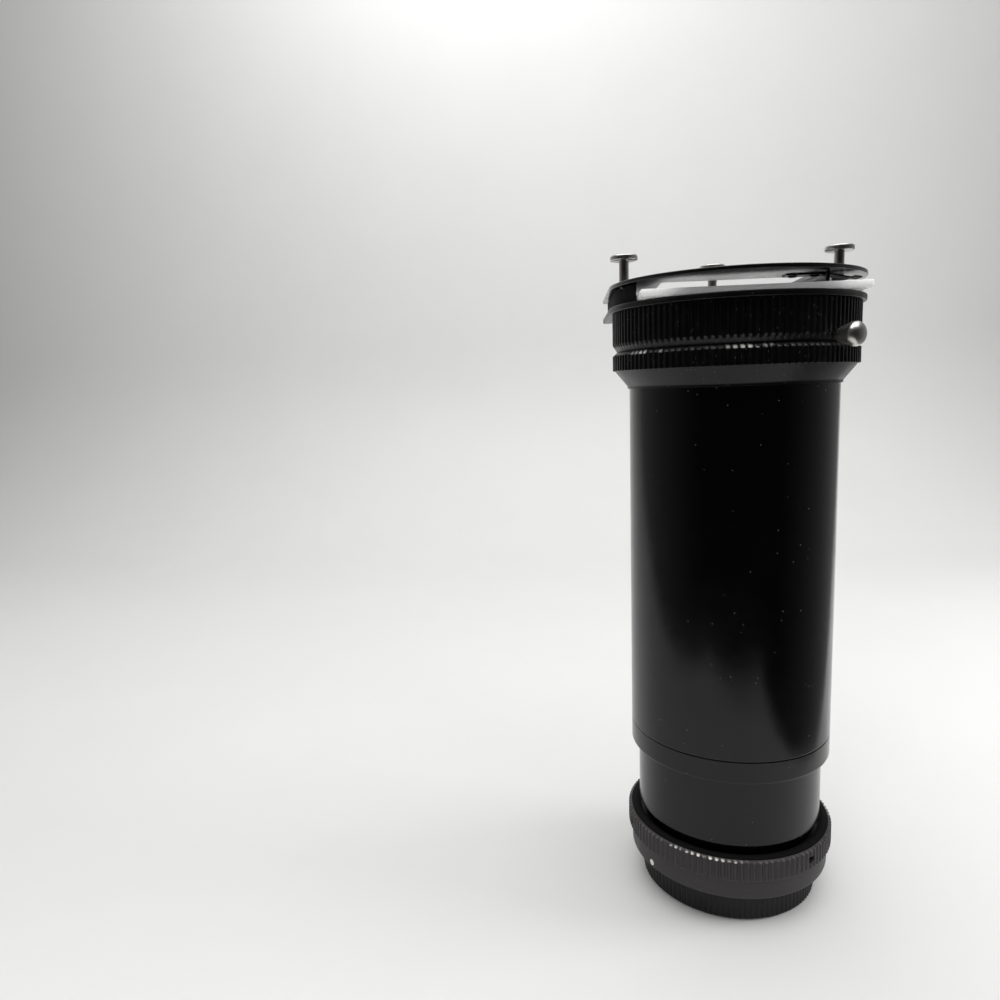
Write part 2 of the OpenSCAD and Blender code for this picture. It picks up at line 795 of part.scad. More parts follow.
// A leaf spring in the middle of the plane y: flat under the pressure plate, then bent down
module leaf_spring(y) {
  low = z_press - spring_drop;
  path = [[spring_x - spring_flat, z_press], [spring_x, z_press], [spring_x + spring_slope, low],
    [spring_x + spring_slope + spring_kink, low + spring_lift],
    [spring_x + spring_slope + spring_kink + spring_end, low]];
  color(steel) difference() {
    translate([0, y + spring_w / 2, 0])
      rotate([90, 0, 0])
        linear_extrude(spring_w)
          polygon(concat(path, [for (i = [len(path) - 1:-1:0]) path[i] - [0, spring_t]]));
    at_rivets()
      translate([0, 0, z_press - 1])
        cylinder(h = 2, r = rivet_d / 2 + fit);
  }
}

module near_leaf_spring() {
  leaf_spring(-spring_y);
}

module far_leaf_spring() {
  leaf_spring(spring_y);
}

module spring_rivets() {
  low = z_press - spring_t;
  r = rivet_d / 2;
  color(steel) at_rivets()
    turned([[0, low - rivet_head_h], [rivet_head_d / 2 - seam, low - rivet_head_h],
      [rivet_head_d / 2, low], [r, low], [r, z_press_top], [rivet_head_d / 2, z_press_top],
      [rivet_head_d / 2 - seam, z_press_top + rivet_head_h], [0, z_press_top + rivet_head_h]]);
}

module opal_plate() {
  color(opal)
    translate([0, opal_y, opal_z])
      linear_extrude(opal_t)
        round_rect(slide_size, slide_size, opal_r);
}

rear_cap();
adapter_ring();
adapter_insert();
adapter_set_screws();
index_dot();
rear_barrel();
main_tube();
lens_cell();
rear_lens();
lens_spacers();
aperture_stop();
front_lens();
lens_retaining_ring();
light_baffle();
stage_collar();
stage_ring();
lock_screw();
stage_plate();
stage_plate_screws();
slide_rail();
rail_screws();
guide_pins();
pressure_plate();
near_leaf_spring();
far_leaf_spring();
spring_rivets();
opal_plate();
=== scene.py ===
# Slide duplicator: a copying lens in a black tube, with a camera adapter below
# and a turning slide stage on top. Metres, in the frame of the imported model.
import math

import bpy
from mathutils import Matrix, Vector


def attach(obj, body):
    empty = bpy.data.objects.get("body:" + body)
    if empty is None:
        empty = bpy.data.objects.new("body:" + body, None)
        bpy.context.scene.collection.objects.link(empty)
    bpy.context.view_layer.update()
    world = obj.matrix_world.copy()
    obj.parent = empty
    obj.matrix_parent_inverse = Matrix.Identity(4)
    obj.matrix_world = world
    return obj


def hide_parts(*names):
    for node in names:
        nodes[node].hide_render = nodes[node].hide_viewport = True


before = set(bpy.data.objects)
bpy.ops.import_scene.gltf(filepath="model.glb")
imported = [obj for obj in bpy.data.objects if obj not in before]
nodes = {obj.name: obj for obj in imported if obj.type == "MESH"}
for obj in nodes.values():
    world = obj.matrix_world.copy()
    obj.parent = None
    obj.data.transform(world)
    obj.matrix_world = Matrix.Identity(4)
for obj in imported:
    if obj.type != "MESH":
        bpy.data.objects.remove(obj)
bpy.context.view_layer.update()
mm = 0.001
print("frame loaded:", len(nodes), "nodes")


# small tools for meshes and materials
def linearColour(hexCode):
    # sRGB hex to the linear values that a shader takes
    parts = [int(hexCode[i:i + 2], 16) / 255 for i in (1, 3, 5)]
    linear = [c / 12.92 if c <= 0.04045 else ((c + 0.055) / 1.055) ** 2.4 for c in parts]
    return tuple(linear) + (1.0,)


def addNode(tree, kind, settings=None, links=None):
    node = tree.nodes.new(kind)
    for key, value in (settings or {}).items():
        if isinstance(key, str) and hasattr(node, key):
            setattr(node, key, value)
        else:
            node.inputs[key].default_value = value
    for key, socket in (links or {}).items():
        tree.links.new(socket, node.inputs[key])
    return node


def startMaterial(name):
    material = bpy.data.materials.new(name)
    material.use_nodes = True
    tree = material.node_tree
    place = addNode(tree, "ShaderNodeTexCoord").outputs["Object"]
    return material, tree, tree.nodes["Principled BSDF"], place


def deselectAll():
    if bpy.context.object and bpy.context.object.mode != "OBJECT":
        bpy.ops.object.mode_set(mode="OBJECT")
    bpy.ops.object.select_all(action="DESELECT")


def pick(piece):
    deselectAll()
    piece.select_set(True)
    bpy.context.view_layer.objects.active = piece


def selectPoints(piece, test):
    # selects points by their place, and leaves the piece in edit mode
    pick(piece)
    bpy.ops.object.mode_set(mode="EDIT")
    bpy.ops.mesh.select_mode(type="VERT")
    bpy.ops.mesh.select_all(action="DESELECT")
    bpy.ops.object.mode_set(mode="OBJECT")
    for point in piece.data.vertices:
        point.select = test(point.co)
    bpy.ops.object.mode_set(mode="EDIT")


def drawLine(name, points):
    # a plane is merged to one point, which is then extruded along the line
    deselectAll()
    bpy.ops.mesh.primitive_plane_add(size=mm, location=(0, 0, 0))
    piece = bpy.context.object
    piece.name = piece.data.name = name
    bpy.ops.object.mode_set(mode="EDIT")
    bpy.ops.mesh.select_mode(type="VERT")
    bpy.ops.mesh.select_all(action="SELECT")
    bpy.ops.mesh.merge(type="CENTER")
    bpy.ops.transform.translate(value=points[0])
    for a, b in zip(points, points[1:]):
        bpy.ops.mesh.extrude_region_move(TRANSFORM_OT_translate={"value": Vector(b) - Vector(a)})
    return piece


def turn(name, section, steps, foot=(0, 0, 0), axis=(0, 0, 1)):
    # section: (radius, height) in mm along the axis; drawn once and spun round it
    up = Vector(axis).normalized()
    out = Vector((1, 0, 0)) if abs(up.z) > 0.5 else Vector((0, 0, 1))
    foot = Vector(foot)
    piece = drawLine(name, [(foot + out * r + up * h) * mm for r, h in section])
    bpy.ops.mesh.select_all(action="SELECT")
    bpy.ops.mesh.spin(steps=steps, angle=math.tau, center=foot * mm, axis=up)
    bpy.ops.mesh.select_all(action="SELECT")
    bpy.ops.mesh.remove_doubles(threshold=0.002 * mm)
    bpy.ops.mesh.normals_make_consistent(inside=False)
    bpy.ops.object.mode_set(mode="OBJECT")
    return piece


wearAndGlintSizes = {"least": 0.06, "fall": 0.6, "rowReach": 0.02, "plateRim": 0.3}


def rubbedAndGlinting(co, places):
    # how much a tooth is rubbed bright, partly real wear and partly painted glint: fully round each
    # (angle, half width) in degrees, little elsewhere
    angle = math.degrees(math.atan2(co.y, co.x))
    near = [1 - wearAndGlintSizes["fall"] * abs(angle - a) / half for a, half in places
            if abs(angle - a) < half]
    return max([wearAndGlintSizes["least"]] + near)


def cutTeeth(piece, teeth, radius, depth, low, high, rubGlintRows, places):
    # every tooth has four columns of points: two stay out, two are pushed in. An attribute marks
    # the outer two at the heights of the given rows, for rubbed teeth that are partly real wear and
    # partly painted glint
    columns = teeth * 4
    wearAndGlint = piece.data.attributes.new("rubAndGlintMark", "FLOAT", "POINT")

    def column(co):
        return round(math.atan2(co.y, co.x) / math.tau * columns) % 4

    def outer(co):
        return low - 0.01 < co.z / mm < high + 0.01 and math.hypot(co.x, co.y) / mm > radius - 0.01
    for i, point in enumerate(piece.data.vertices):
        nearRow = min(abs(point.co.z / mm - row) for row in rubGlintRows)
        if column(point.co) < 2 and nearRow < wearAndGlintSizes["rowReach"]:
            wearAndGlint.data[i].value = rubbedAndGlinting(point.co, places)
    selectPoints(piece, lambda co: outer(co) and column(co) > 1)
    k = (radius - depth) / radius
    bpy.ops.transform.resize(value=(k, k, 1), center_override=(0, 0, 0))
    bpy.ops.object.mode_set(mode="OBJECT")


def combine(piece, operation, *tools):
    # joins the tools first, so that one boolean does the work
    pick(tools[0])
    for tool in tools:
        tool.select_set(True)
    if len(tools) > 1:
        bpy.ops.object.join()
    other = bpy.context.object
    pick(piece)
    change = piece.modifiers.new("change", "BOOLEAN")
    change.object = other
    change.operation = operation
    change.solver = "EXACT"
    bpy.ops.object.modifier_apply(modifier="change")
    bpy.data.objects.remove(other)


def cutWith(piece, *cutters):
    combine(piece, "DIFFERENCE", *cutters)


def roundEdges(piece, width, segments=2, angle=40):
    pick(piece)
    rounding = piece.modifiers.new("rounding", "BEVEL")
    rounding.width = width * mm
    rounding.segments = segments
    rounding.limit_method = "ANGLE"
    rounding.angle_limit = math.radians(angle)
    rounding.use_clamp_overlap = True
    bpy.ops.object.modifier_apply(modifier="rounding")


def finishPiece(piece, body, material, slot, *replaced, angle=32):
    pick(piece)
    bpy.ops.object.transform_apply(location=True, rotation=True, scale=True)
    bpy.ops.object.shade_smooth_by_angle(angle=math.radians(angle))
    piece.data.materials.clear()
    piece.data.materials.append(material)
    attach(piece, body)
    if replaced:
        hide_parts(*replaced)
    return piece


def around(radius, degrees, height=0):
    a = math.radians(degrees)
    return Vector((radius * math.cos(a), radius * math.sin(a), height))


def copyTurned(piece, degrees):
    # a copy with its own mesh, turned round the optical axis
    twin = piece.copy()
    twin.data = piece.data.copy()
    bpy.context.scene.collection.objects.link(twin)
    twin.data.transform(Matrix.Rotation(math.radians(degrees), 4, "Z"))
    return twin


def joinPieces(name, pieces):
    pick(pieces[0])
    for piece in pieces:
        piece.select_set(True)
    bpy.ops.object.join()
    bpy.context.object.name = name
    return bpy.context.object


# finishes, with lengths in mm
def dustSpecks(tree, place, size, spacing):
    # dust specks, as a share from 0 to 1: only some cells of a cell pattern hold one
    emptyShare = 0.45
    cells = addNode(tree, "ShaderNodeTexVoronoi", {"Scale": 1 / (spacing * mm)}, {"Vector": place})
    spot = addNode(tree, "ShaderNodeMapRange", {
        "From Min": size / spacing, "From Max": 0.5 * size / spacing, "To Min": 0.0, "To Max": 1.0},
        {"Value": cells.outputs["Distance"]})
    tint = addNode(tree, "ShaderNodeSeparateColor", None, {"Color": cells.outputs["Color"]})
    choice = addNode(tree, "ShaderNodeMath", {"operation": "GREATER_THAN", 1: emptyShare},
                     {0: tint.outputs["Red"]})
    return addNode(tree, "ShaderNodeMath", {"operation": "MULTIPLY"},
                   {0: spot.outputs["Result"], 1: choice.outputs["Value"]}).outputs["Value"]


def wearAndGlintShare(tree, patches, low, high):
    # worn patches, as a share from 0 to 1, only where the attribute marks an edge; on the knurled
    # teeth they are partly painted glint
    share = addNode(tree, "ShaderNodeMapRange", {"From Min": low, "From Max": high},
                    {"Value": patches.outputs[0]})
    edge = addNode(tree, "ShaderNodeAttribute", {"attribute_name": "rubAndGlintMark"})
    return addNode(tree, "ShaderNodeMath", {"operation": "MULTIPLY"},
                   {0: share.outputs["Result"], 1: edge.outputs["Fac"]}).outputs[0]


def glossBlackAnodised():
    # aluminium turned smooth, sealed and dyed black: deep gloss, dust specks and cloudy wipe marks
    material, tree, shader, place = startMaterial("aluminiumBlackAnodisedGloss")
    specks = dustSpecks(tree, place, 0.15, 2.0)
    shade = addNode(tree, "ShaderNodeMix", {"data_type": "RGBA", 6: linearColour("#040405"),
                                            7: linearColour("#74726e")}, {0: specks})
    tree.links.new(shade.outputs[2], shader.inputs["Base Color"])
    clouds = addNode(tree, "ShaderNodeTexNoise", {"Scale": 1 / (14 * mm), "Detail": 5.0,
                                                  "Roughness": 0.62}, {"Vector": place})
    rough = addNode(tree, "ShaderNodeMapRange", {"From Min": 0.3, "From Max": 0.75, "To Min": 0.13,
                                                 "To Max": 0.24}, {"Value": clouds.outputs[0]})
    dusty = addNode(tree, "ShaderNodeMix", {"data_type": "FLOAT", 3: 0.9},
                    {0: specks, 2: rough.outputs["Result"]})
    tree.links.new(dusty.outputs[0], shader.inputs["Roughness"])
    # the turning leaves soft rings 0.9 mm apart, far below what a nail would feel
    squeezed = addNode(tree, "ShaderNodeMapping", {"Scale": (60, 60, 1 / (0.9 * mm))},
                       {"Vector": place})
    rings = addNode(tree, "ShaderNodeTexNoise", {"Scale": 1.0, "Detail": 2.0},
                    {"Vector": squeezed.outputs[0]})
    bump = addNode(tree, "ShaderNodeBump", {"Strength": 0.12, "Distance": 0.01 * mm},
                   {"Height": rings.outputs[0]})
    tree.links.new(bump.outputs[0], shader.inputs["Normal"])
    shader.inputs["IOR"].default_value = 1.4
    return material


def satinAnodised(name, dark, light, roughLow, roughHigh, wearGlintColour, ior):
    # aluminium etched before it is dyed: a soft sheen, fine dust, and teeth rubbed bright, partly
    # real wear and partly painted glint
    material, tree, shader, place = startMaterial(name)
    clouds = addNode(tree, "ShaderNodeTexNoise", {"Scale": 1 / (5 * mm), "Detail": 6.0,
                                                  "Roughness": 0.65}, {"Vector": place})
    tone = addNode(tree, "ShaderNodeMix", {"data_type": "RGBA", 6: linearColour(dark),
                                           7: linearColour(light)}, {0: clouds.outputs[0]})
    specks = dustSpecks(tree, place, 0.17, 1.0)
    dusty = addNode(tree, "ShaderNodeMix", {"data_type": "RGBA", 7: linearColour("#4f4d4a")},
                    {0: specks, 6: tone.outputs[2]})
    # rubbed patches, about 4 mm long, in a pale colour that is partly real wear and partly painted
    # glint
    patches = addNode(tree, "ShaderNodeTexNoise", {"Scale": 1 / (2.6 * mm), "Detail": 3.0},
                      {"Vector": place})
    wearAndGlint = wearAndGlintShare(tree, patches, 0.42, 0.52)
    colour = addNode(tree, "ShaderNodeMix", {"data_type": "RGBA", 7: linearColour(wearGlintColour)},
                     {0: wearAndGlint, 6: dusty.outputs[2]})
    tree.links.new(colour.outputs[2], shader.inputs["Base Color"])
    # the bare metal is scuffed and dusty, so it answers only partly as a metal
    metal = addNode(tree, "ShaderNodeMath", {"operation": "MULTIPLY", 1: 0.4}, {0: wearAndGlint})
    tree.links.new(metal.outputs[0], shader.inputs["Metallic"])
    rough = addNode(tree, "ShaderNodeMapRange", {"From Min": 0.3, "From Max": 0.7,
                                                 "To Min": roughLow, "To Max": roughHigh},
                    {"Value": clouds.outputs[0]})
    tree.links.new(rough.outputs["Result"], shader.inputs["Roughness"])
    # the etch is a grain of 0.12 mm, drawn three times as coarse so that it shows
    grain = addNode(tree, "ShaderNodeTexNoise", {"Scale": 1 / (0.36 * mm), "Detail": 2.0},
                    {"Vector": place})
    bump = addNode(tree, "ShaderNodeBump", {"Strength": 0.25, "Distance": 0.02 * mm},
                   {"Height": grain.outputs[0]})
    tree.links.new(bump.outputs[0], shader.inputs["Normal"])
    shader.inputs["IOR"].default_value = ior
    return material


def mouldedPlastic():
    # black polystyrene from a textured mould: even and dry, with a little dust
    material, tree, shader, place = startMaterial("polystyreneMouldedBlack")
    clouds = addNode(tree, "ShaderNodeTexNoise", {"Scale": 1 / (6 * mm), "Detail": 5.0},
                     {"Vector": place})
    tone = addNode(tree, "ShaderNodeMix", {"data_type": "RGBA", 6: linearColour("#060607"),
                                           7: linearColour("#0e0e10")}, {0: clouds.outputs[0]})
    specks = dustSpecks(tree, place, 0.15, 3.0)
    dusty = addNode(tree, "ShaderNodeMix", {"data_type": "RGBA", 7: linearColour("#5c5b58")},
                    {0: specks, 6: tone.outputs[2]})
    tree.links.new(dusty.outputs[2], shader.inputs["Base Color"])
    grain = addNode(tree, "ShaderNodeTexNoise", {"Scale": 1 / (0.3 * mm), "Detail": 1.0},
                    {"Vector": place})
    bump = addNode(tree, "ShaderNodeBump", {"Strength": 0.3, "Distance": 0.02 * mm},
                   {"Height": grain.outputs[0]})
    tree.links.new(bump.outputs[0], shader.inputs["Normal"])
    shader.inputs["Roughness"].default_value = 0.46
    shader.inputs["IOR"].default_value = 1.39
    return material


def brightMetal(name, colour, roughLow, roughHigh, lineSpacing):
    # plated or ground metal: fine lines across the light, and a duller bloom in places
    material, tree, shader, place = startMaterial(name)
    bloom = addNode(tree, "ShaderNodeTexNoise", {"Scale": 1 / (1.8 * mm), "Detail": 4.0},
                    {"Vector": place})
    rough = addNode(tree, "ShaderNodeMapRange", {"From Min": 0.3, "From Max": 0.7,
                                                 "To Min": roughLow, "To Max": roughHigh},
                    {"Value": bloom.outputs[0]})
    tree.links.new(rough.outputs["Result"], shader.inputs["Roughness"])
    lines = addNode(tree, "ShaderNodeTexNoise", {"Scale": 1 / (lineSpacing * mm), "Detail": 2.0},
                    {"Vector": place})
    bump = addNode(tree, "ShaderNodeBump", {"Strength": 0.15, "Distance": 0.01 * mm},
                   {"Height": lines.outputs[0]})
    tree.links.new(bump.outputs[0], shader.inputs["Normal"])
    shader.inputs["Base Color"].default_value = linearColour(colour)
    shader.inputs["Metallic"].default_value = 1.0
    return material


def semiGlossEnamel():
    # black stoving enamel on thin sheet: glossy, thinly chipped at the rim
    material, tree, shader, place = startMaterial("steelBlackEnamelStoved")
    chips = addNode(tree, "ShaderNodeTexNoise", {"Scale": 1 / (1.1 * mm), "Detail": 4.0,
                                                 "Roughness": 0.7}, {"Vector": place})
    wearAndGlint = wearAndGlintShare(tree, chips, 0.66, 0.7)
    specks = dustSpecks(tree, place, 0.16, 3.4)
    dusty = addNode(tree, "ShaderNodeMix", {"data_type": "RGBA", 6: linearColour("#090909"),
                                            7: linearColour("#66645f")}, {0: specks})
    colour = addNode(tree, "ShaderNodeMix", {"data_type": "RGBA", 7: linearColour("#a9a7a2")},
                     {0: wearAndGlint, 6: dusty.outputs[2]})
    tree.links.new(colour.outputs[2], shader.inputs["Base Color"])
    tree.links.new(wearAndGlint, shader.inputs["Metallic"])
    clouds = addNode(tree, "ShaderNodeTexNoise", {"Scale": 1 / (9 * mm), "Detail": 5.0},
                     {"Vector": place})
    rough = addNode(tree, "ShaderNodeMapRange", {"From Min": 0.3, "From Max": 0.7, "To Min": 0.12,
                                                 "To Max": 0.22}, {"Value": clouds.outputs[0]})
    tree.links.new(rough.outputs["Result"], shader.inputs["Roughness"])
    # orange peel of the stoved coat, about 0.8 mm
    peel = addNode(tree, "ShaderNodeTexNoise", {"Scale": 1 / (0.8 * mm), "Detail": 1.0},
                   {"Vector": place})
    bump = addNode(tree, "ShaderNodeBump", {"Strength": 0.12, "Distance": 0.02 * mm},
                   {"Height": peel.outputs[0]})
    tree.links.new(bump.outputs[0], shader.inputs["Normal"])
    shader.inputs["IOR"].default_value = 1.55
    return material


def opalAcrylic():
    # opal acrylic sheet with sawn and scraped edges: milky, a little light goes into it
    material, tree, shader, place = startMaterial("acrylicOpalSheet")
    clouds = addNode(tree, "ShaderNodeTexNoise", {"Scale": 1 / (8 * mm), "Detail": 4.0},
                     {"Vector": place})
    tone = addNode(tree, "ShaderNodeMix", {"data_type": "RGBA", 6: linearColour("#f1f0ec"),
                                           7: linearColour("#faf9f6")}, {0: clouds.outputs[0]})
    tree.links.new(tone.outputs[2], shader.inputs["Base Color"])
    rough = addNode(tree, "ShaderNodeMapRange", {"From Min": 0.3, "From Max": 0.7, "To Min": 0.2,
                                                 "To Max": 0.34}, {"Value": clouds.outputs[0]})
    tree.links.new(rough.outputs["Result"], shader.inputs["Roughness"])
    shader.inputs["IOR"].default_value = 1.49
    shader.inputs["Subsurface Weight"].default_value = 0.9
    shader.inputs["Subsurface Radius"].default_value = (1.0, 1.0, 0.95)
    shader.inputs["Subsurface Scale"].default_value = 5 * mm
    return material


def lensGlass():
    # polished crown glass, its colour a faint blue to magenta as of a single coating
    material, tree, shader, place = startMaterial("glassCrownCoated")
    film = addNode(tree, "ShaderNodeTexNoise", {"Scale": 1 / (12 * mm), "Detail": 2.0},
                   {"Vector": place})
    tint = addNode(tree, "ShaderNodeMix", {"data_type": "RGBA", 6: linearColour("#eef4ff"),
                                           7: linearColour("#f6f0ff")}, {0: film.outputs[0]})
    tree.links.new(tint.outputs[2], shader.inputs["Base Color"])
    shader.inputs["Transmission Weight"].default_value = 1.0
    shader.inputs["Roughness"].default_value = 0.02
    shader.inputs["IOR"].default_value = 1.52
    return material


def mattPaint():
    # dead black paint against reflections, with a coarse grain of 0.4 mm
    material, tree, shader, place = startMaterial("paintMattBlackInside")
    grain = addNode(tree, "ShaderNodeTexNoise", {"Scale": 1 / (0.4 * mm), "Detail": 3.0},
                    {"Vector": place})
    tone = addNode(tree, "ShaderNodeMix", {"data_type": "RGBA", 6: linearColour("#050505"),
                                           7: linearColour("#0d0d0d")}, {0: grain.outputs[0]})
    tree.links.new(tone.outputs[2], shader.inputs["Base Color"])
    bump = addNode(tree, "ShaderNodeBump", {"Strength": 0.5, "Distance": 0.04 * mm},
                   {"Height": grain.outputs[0]})
    tree.links.new(bump.outputs[0], shader.inputs["Normal"])
    shader.inputs["Roughness"].default_value = 0.85
    shader.inputs["IOR"].default_value = 1.3
    return material


def enamelFill():
    # white enamel dropped in a drilled seat and left to level: slightly yellowed
    material, tree, shader, place = startMaterial("enamelWhiteFill")
    clouds = addNode(tree, "ShaderNodeTexNoise", {"Scale": 1 / (0.5 * mm), "Detail": 2.0},
                     {"Vector": place})
    tone = addNode(tree, "ShaderNodeMix", {"data_type": "RGBA", 6: linearColour("#dedbd2"),
                                           7: linearColour("#efece4")}, {0: clouds.outputs[0]})
    tree.links.new(tone.outputs[2], shader.inputs["Base Color"])
    shader.inputs["Roughness"].default_value = 0.3
    return material


gloss = glossBlackAnodised()
# the pale colour of each is its rubbed teeth: partly real wear and partly painted glint
satin = satinAnodised("aluminiumBlackAnodisedSatin", "#040405", "#090909", 0.28, 0.42,
                      "#cfcdc8", 1.38)
greySatin = satinAnodised("aluminiumGreyAnodisedSatin", "#2a2728", "#353132", 0.4, 0.55,
                          "#efeae4", 1.42)
plastic = mouldedPlastic()
nickel = brightMetal("brassNickelPlatedBrushed", "#cbc9c3", 0.24, 0.38, 0.35)
dullNickel = brightMetal("brassNickelPlatedTarnished", "#b7b5af", 0.42, 0.58, 0.35)
blackSteel = brightMetal("steelBlackenedSpring", "#1d1d20", 0.28, 0.45, 0.25)
enamel = semiGlossEnamel()
opal = opalAcrylic()
glass = lensGlass()
mattBlack = mattPaint()
whiteFill = enamelFill()
print("finishes made")


# rear cap
capSizes = {"radius": 22.9, "ribs": 102, "ribDepth": 0.3, "height": 8.2, "bore": 20.95}


def makeRearCap():
    c = capSizes
    r, d, h = c["radius"], c["ribDepth"], c["height"]
    cap = turn("rearCap", [(0, 0.3), (18.6, 0.3), (18.9, 0), (22.1, 0), (r - d, 0.5), (r, 0.8),
                           (r, h - 0.5), (r - d, h - 0.2), (22.4, h), (c["bore"] + 0.25, h),
                           (c["bore"], h - 0.25), (c["bore"], 1.8), (0, 1.8)], c["ribs"] * 4)
    cutTeeth(cap, c["ribs"], r, d, 0.8, h - 0.5, [h - 0.5], [])
    return finishPiece(cap, "cap", plastic, "black_plastic", "rear_cap")


makeRearCap()


# camera adapter, with its set screws, dot and threaded insert
adapterSizes = {"bandRadius": 26.0, "ribRadius": 27.05, "ribs": 111, "ribDepth": 0.35,
                "low": 3.7, "bandLow": 8.2, "bandHigh": 13.4, "ribLow": 13.9, "ribHigh": 18.6,
                "lip": 19.4, "lipRadius": 25.1, "path": 19.3, "shelf": 12.2,
                "bore": 23.7, "screwHeight": 16.2, "screwAngles": (309, 69, 189),
                "screwRadius": 1.0,
                "dotAngle": 211, "dotHeight": 9.5, "threadTurns": 6}
threadSizes = {"root": 20.55, "crest": 20.9, "pitch": 0.75, "flank": 0.3, "land": 0.15}


def threadRings(low, turns):
    t = threadSizes
    rings = []
    for i in range(turns):
        foot = low + t["pitch"] * i
        rings += [(t["root"], foot), (t["crest"], foot + t["flank"]),
                  (t["crest"], foot + t["flank"] + t["land"])]
    return rings


def makeAdapter():
    a = adapterSizes
    r, d = a["ribRadius"], a["ribDepth"]
    slope = 0.8 / (r - a["lipRadius"])
    band, shelf, path, holeRadius = a["bandRadius"], a["shelf"], a["path"], a["screwRadius"] + 0.05
    top = a["ribHigh"]
    ring = turn("adapterRing", [(path, a["low"])] + threadRings(a["low"], a["threadTurns"])
                + [(threadSizes["root"], a["bandLow"]), (band - 0.5, a["bandLow"]),
                   (band - 0.12, a["bandLow"] + 0.12), (band, 8.7), (band, 8.85),
                   (band, a["bandHigh"]), (r - 0.5, a["bandHigh"]), (r - d, 13.55),
                   (r, a["ribLow"]), (r, a["ribLow"] + 0.15), (r, top - 0.15), (r, top),
                   (r - d, top + d * slope), (26.2, 19.0), (26.12, 18.9), (25.98, 18.92),
                   (25.9, 19.1), (25.35, 19.28), (a["lipRadius"], 19.38), (24.75, a["lip"]),
                   (24.4, 19.25), (a["bore"], 18.9), (a["bore"], shelf), (path, shelf),
                   (path, a["low"])], a["ribs"] * 4)
    # round the listed angles the teeth are rubbed brightest, partly real wear and partly painted
    # glint
    cutTeeth(ring, a["ribs"], r, d, a["ribLow"], top, [top, top + d * slope, 19.28, 19.38],
             [(-114, 24), (20, 30), (110, 25)])
    holes = [turn("hole", [(0, 23.2), (holeRadius, 23.2), (holeRadius, 28), (0, 28)], 32,
                  (0, 0, a["screwHeight"]), around(1, angle)) for angle in a["screwAngles"]]
    seat = turn("hole", [(0, 25.6), (0.85, 25.6), (0.85, 27), (0, 27)], 32, (0, 0, a["dotHeight"]),
                around(1, a["dotAngle"]))
    cutWith(ring, *holes, seat)
    finishPiece(ring, "adapter", greySatin, "dark_grey", "adapter_ring")
    # the sloping top and the bore take the matt black finish, darker than the rest of the ring
    ring.data.materials.append(mattBlack)
    for face in ring.data.polygons:
        x, y, z = face.center / mm
        face.material_index = 1 if z > 18.9 or math.hypot(x, y) < 24.5 else 0  # clear of the ribs
    # one slotted set screw is turned and slotted, then copied round the ring
    screw = turn("setScrew", [(0, 23.7), (0.55, 23.7), (1.0, 24.15), (1.0, 26.25), (0.85, 26.4),
                              (0, 26.4)], 40, (0, 0, a["screwHeight"]), around(1, 0))
    deselectAll()
    bpy.ops.mesh.primitive_cube_add(size=1, location=(26.4 * mm, 0, a["screwHeight"] * mm),
                                    scale=(0.8 * mm, 4 * mm, 0.45 * mm))
    cutWith(screw, bpy.context.object)
    copies = [copyTurned(screw, angle) for angle in a["screwAngles"]]
    bpy.data.objects.remove(screw)
    screws = joinPieces("setScrews", copies)
    finishPiece(screws, "adapter", blackSteel, "black_steel", "adapter_set_screws")
    # the enamel stands in its seat as a shallow drop
    dot = turn("indexDot", [(0, 25.6), (0.8, 25.6), (0.8, 25.92), (0.6, 25.99), (0.3, 26.02),
                            (0, 26.03)], 40, (0, 0, a["dotHeight"]), around(1, a["dotAngle"]))
    finishPiece(dot, "adapter", whiteFill, "white_paint", "index_dot")
    groove = a["screwHeight"]  # the set screws' points stand in the insert's groove
    insert = turn("adapterInsert", [(21.1, shelf), (23.5, shelf), (23.65, shelf + 0.15),
                                    (23.65, groove - 1), (23.15, groove), (23.65, groove + 1),
                                    (23.65, 17.6), (23.55, 17.7), (21.1, 17.7), (20.95, 17.55),
                                    (20.95, shelf + 0.15), (21.1, shelf)], 240)
    finishPiece(insert, "tube", satin, "satin_black", "adapter_insert")


makeAdapter()
print("cap and adapter made")


# barrel and tube
tubeSizes = {"radius": 26.0, "bore": 24.2, "low": 44.6, "high": 135.3, "tail": 150.0,
             "barrelRadius": 24.0, "neckRadius": 22.7, "path": 19.3, "room": 22.2, "steps": 360,
             "threadLow": 13.2, "seat": 17.7, "neckHigh": 20.8, "bandLow": 38.8,
             "cellSeat": 47.0, "barrelHigh": 52.6, "threadTurns": 6}


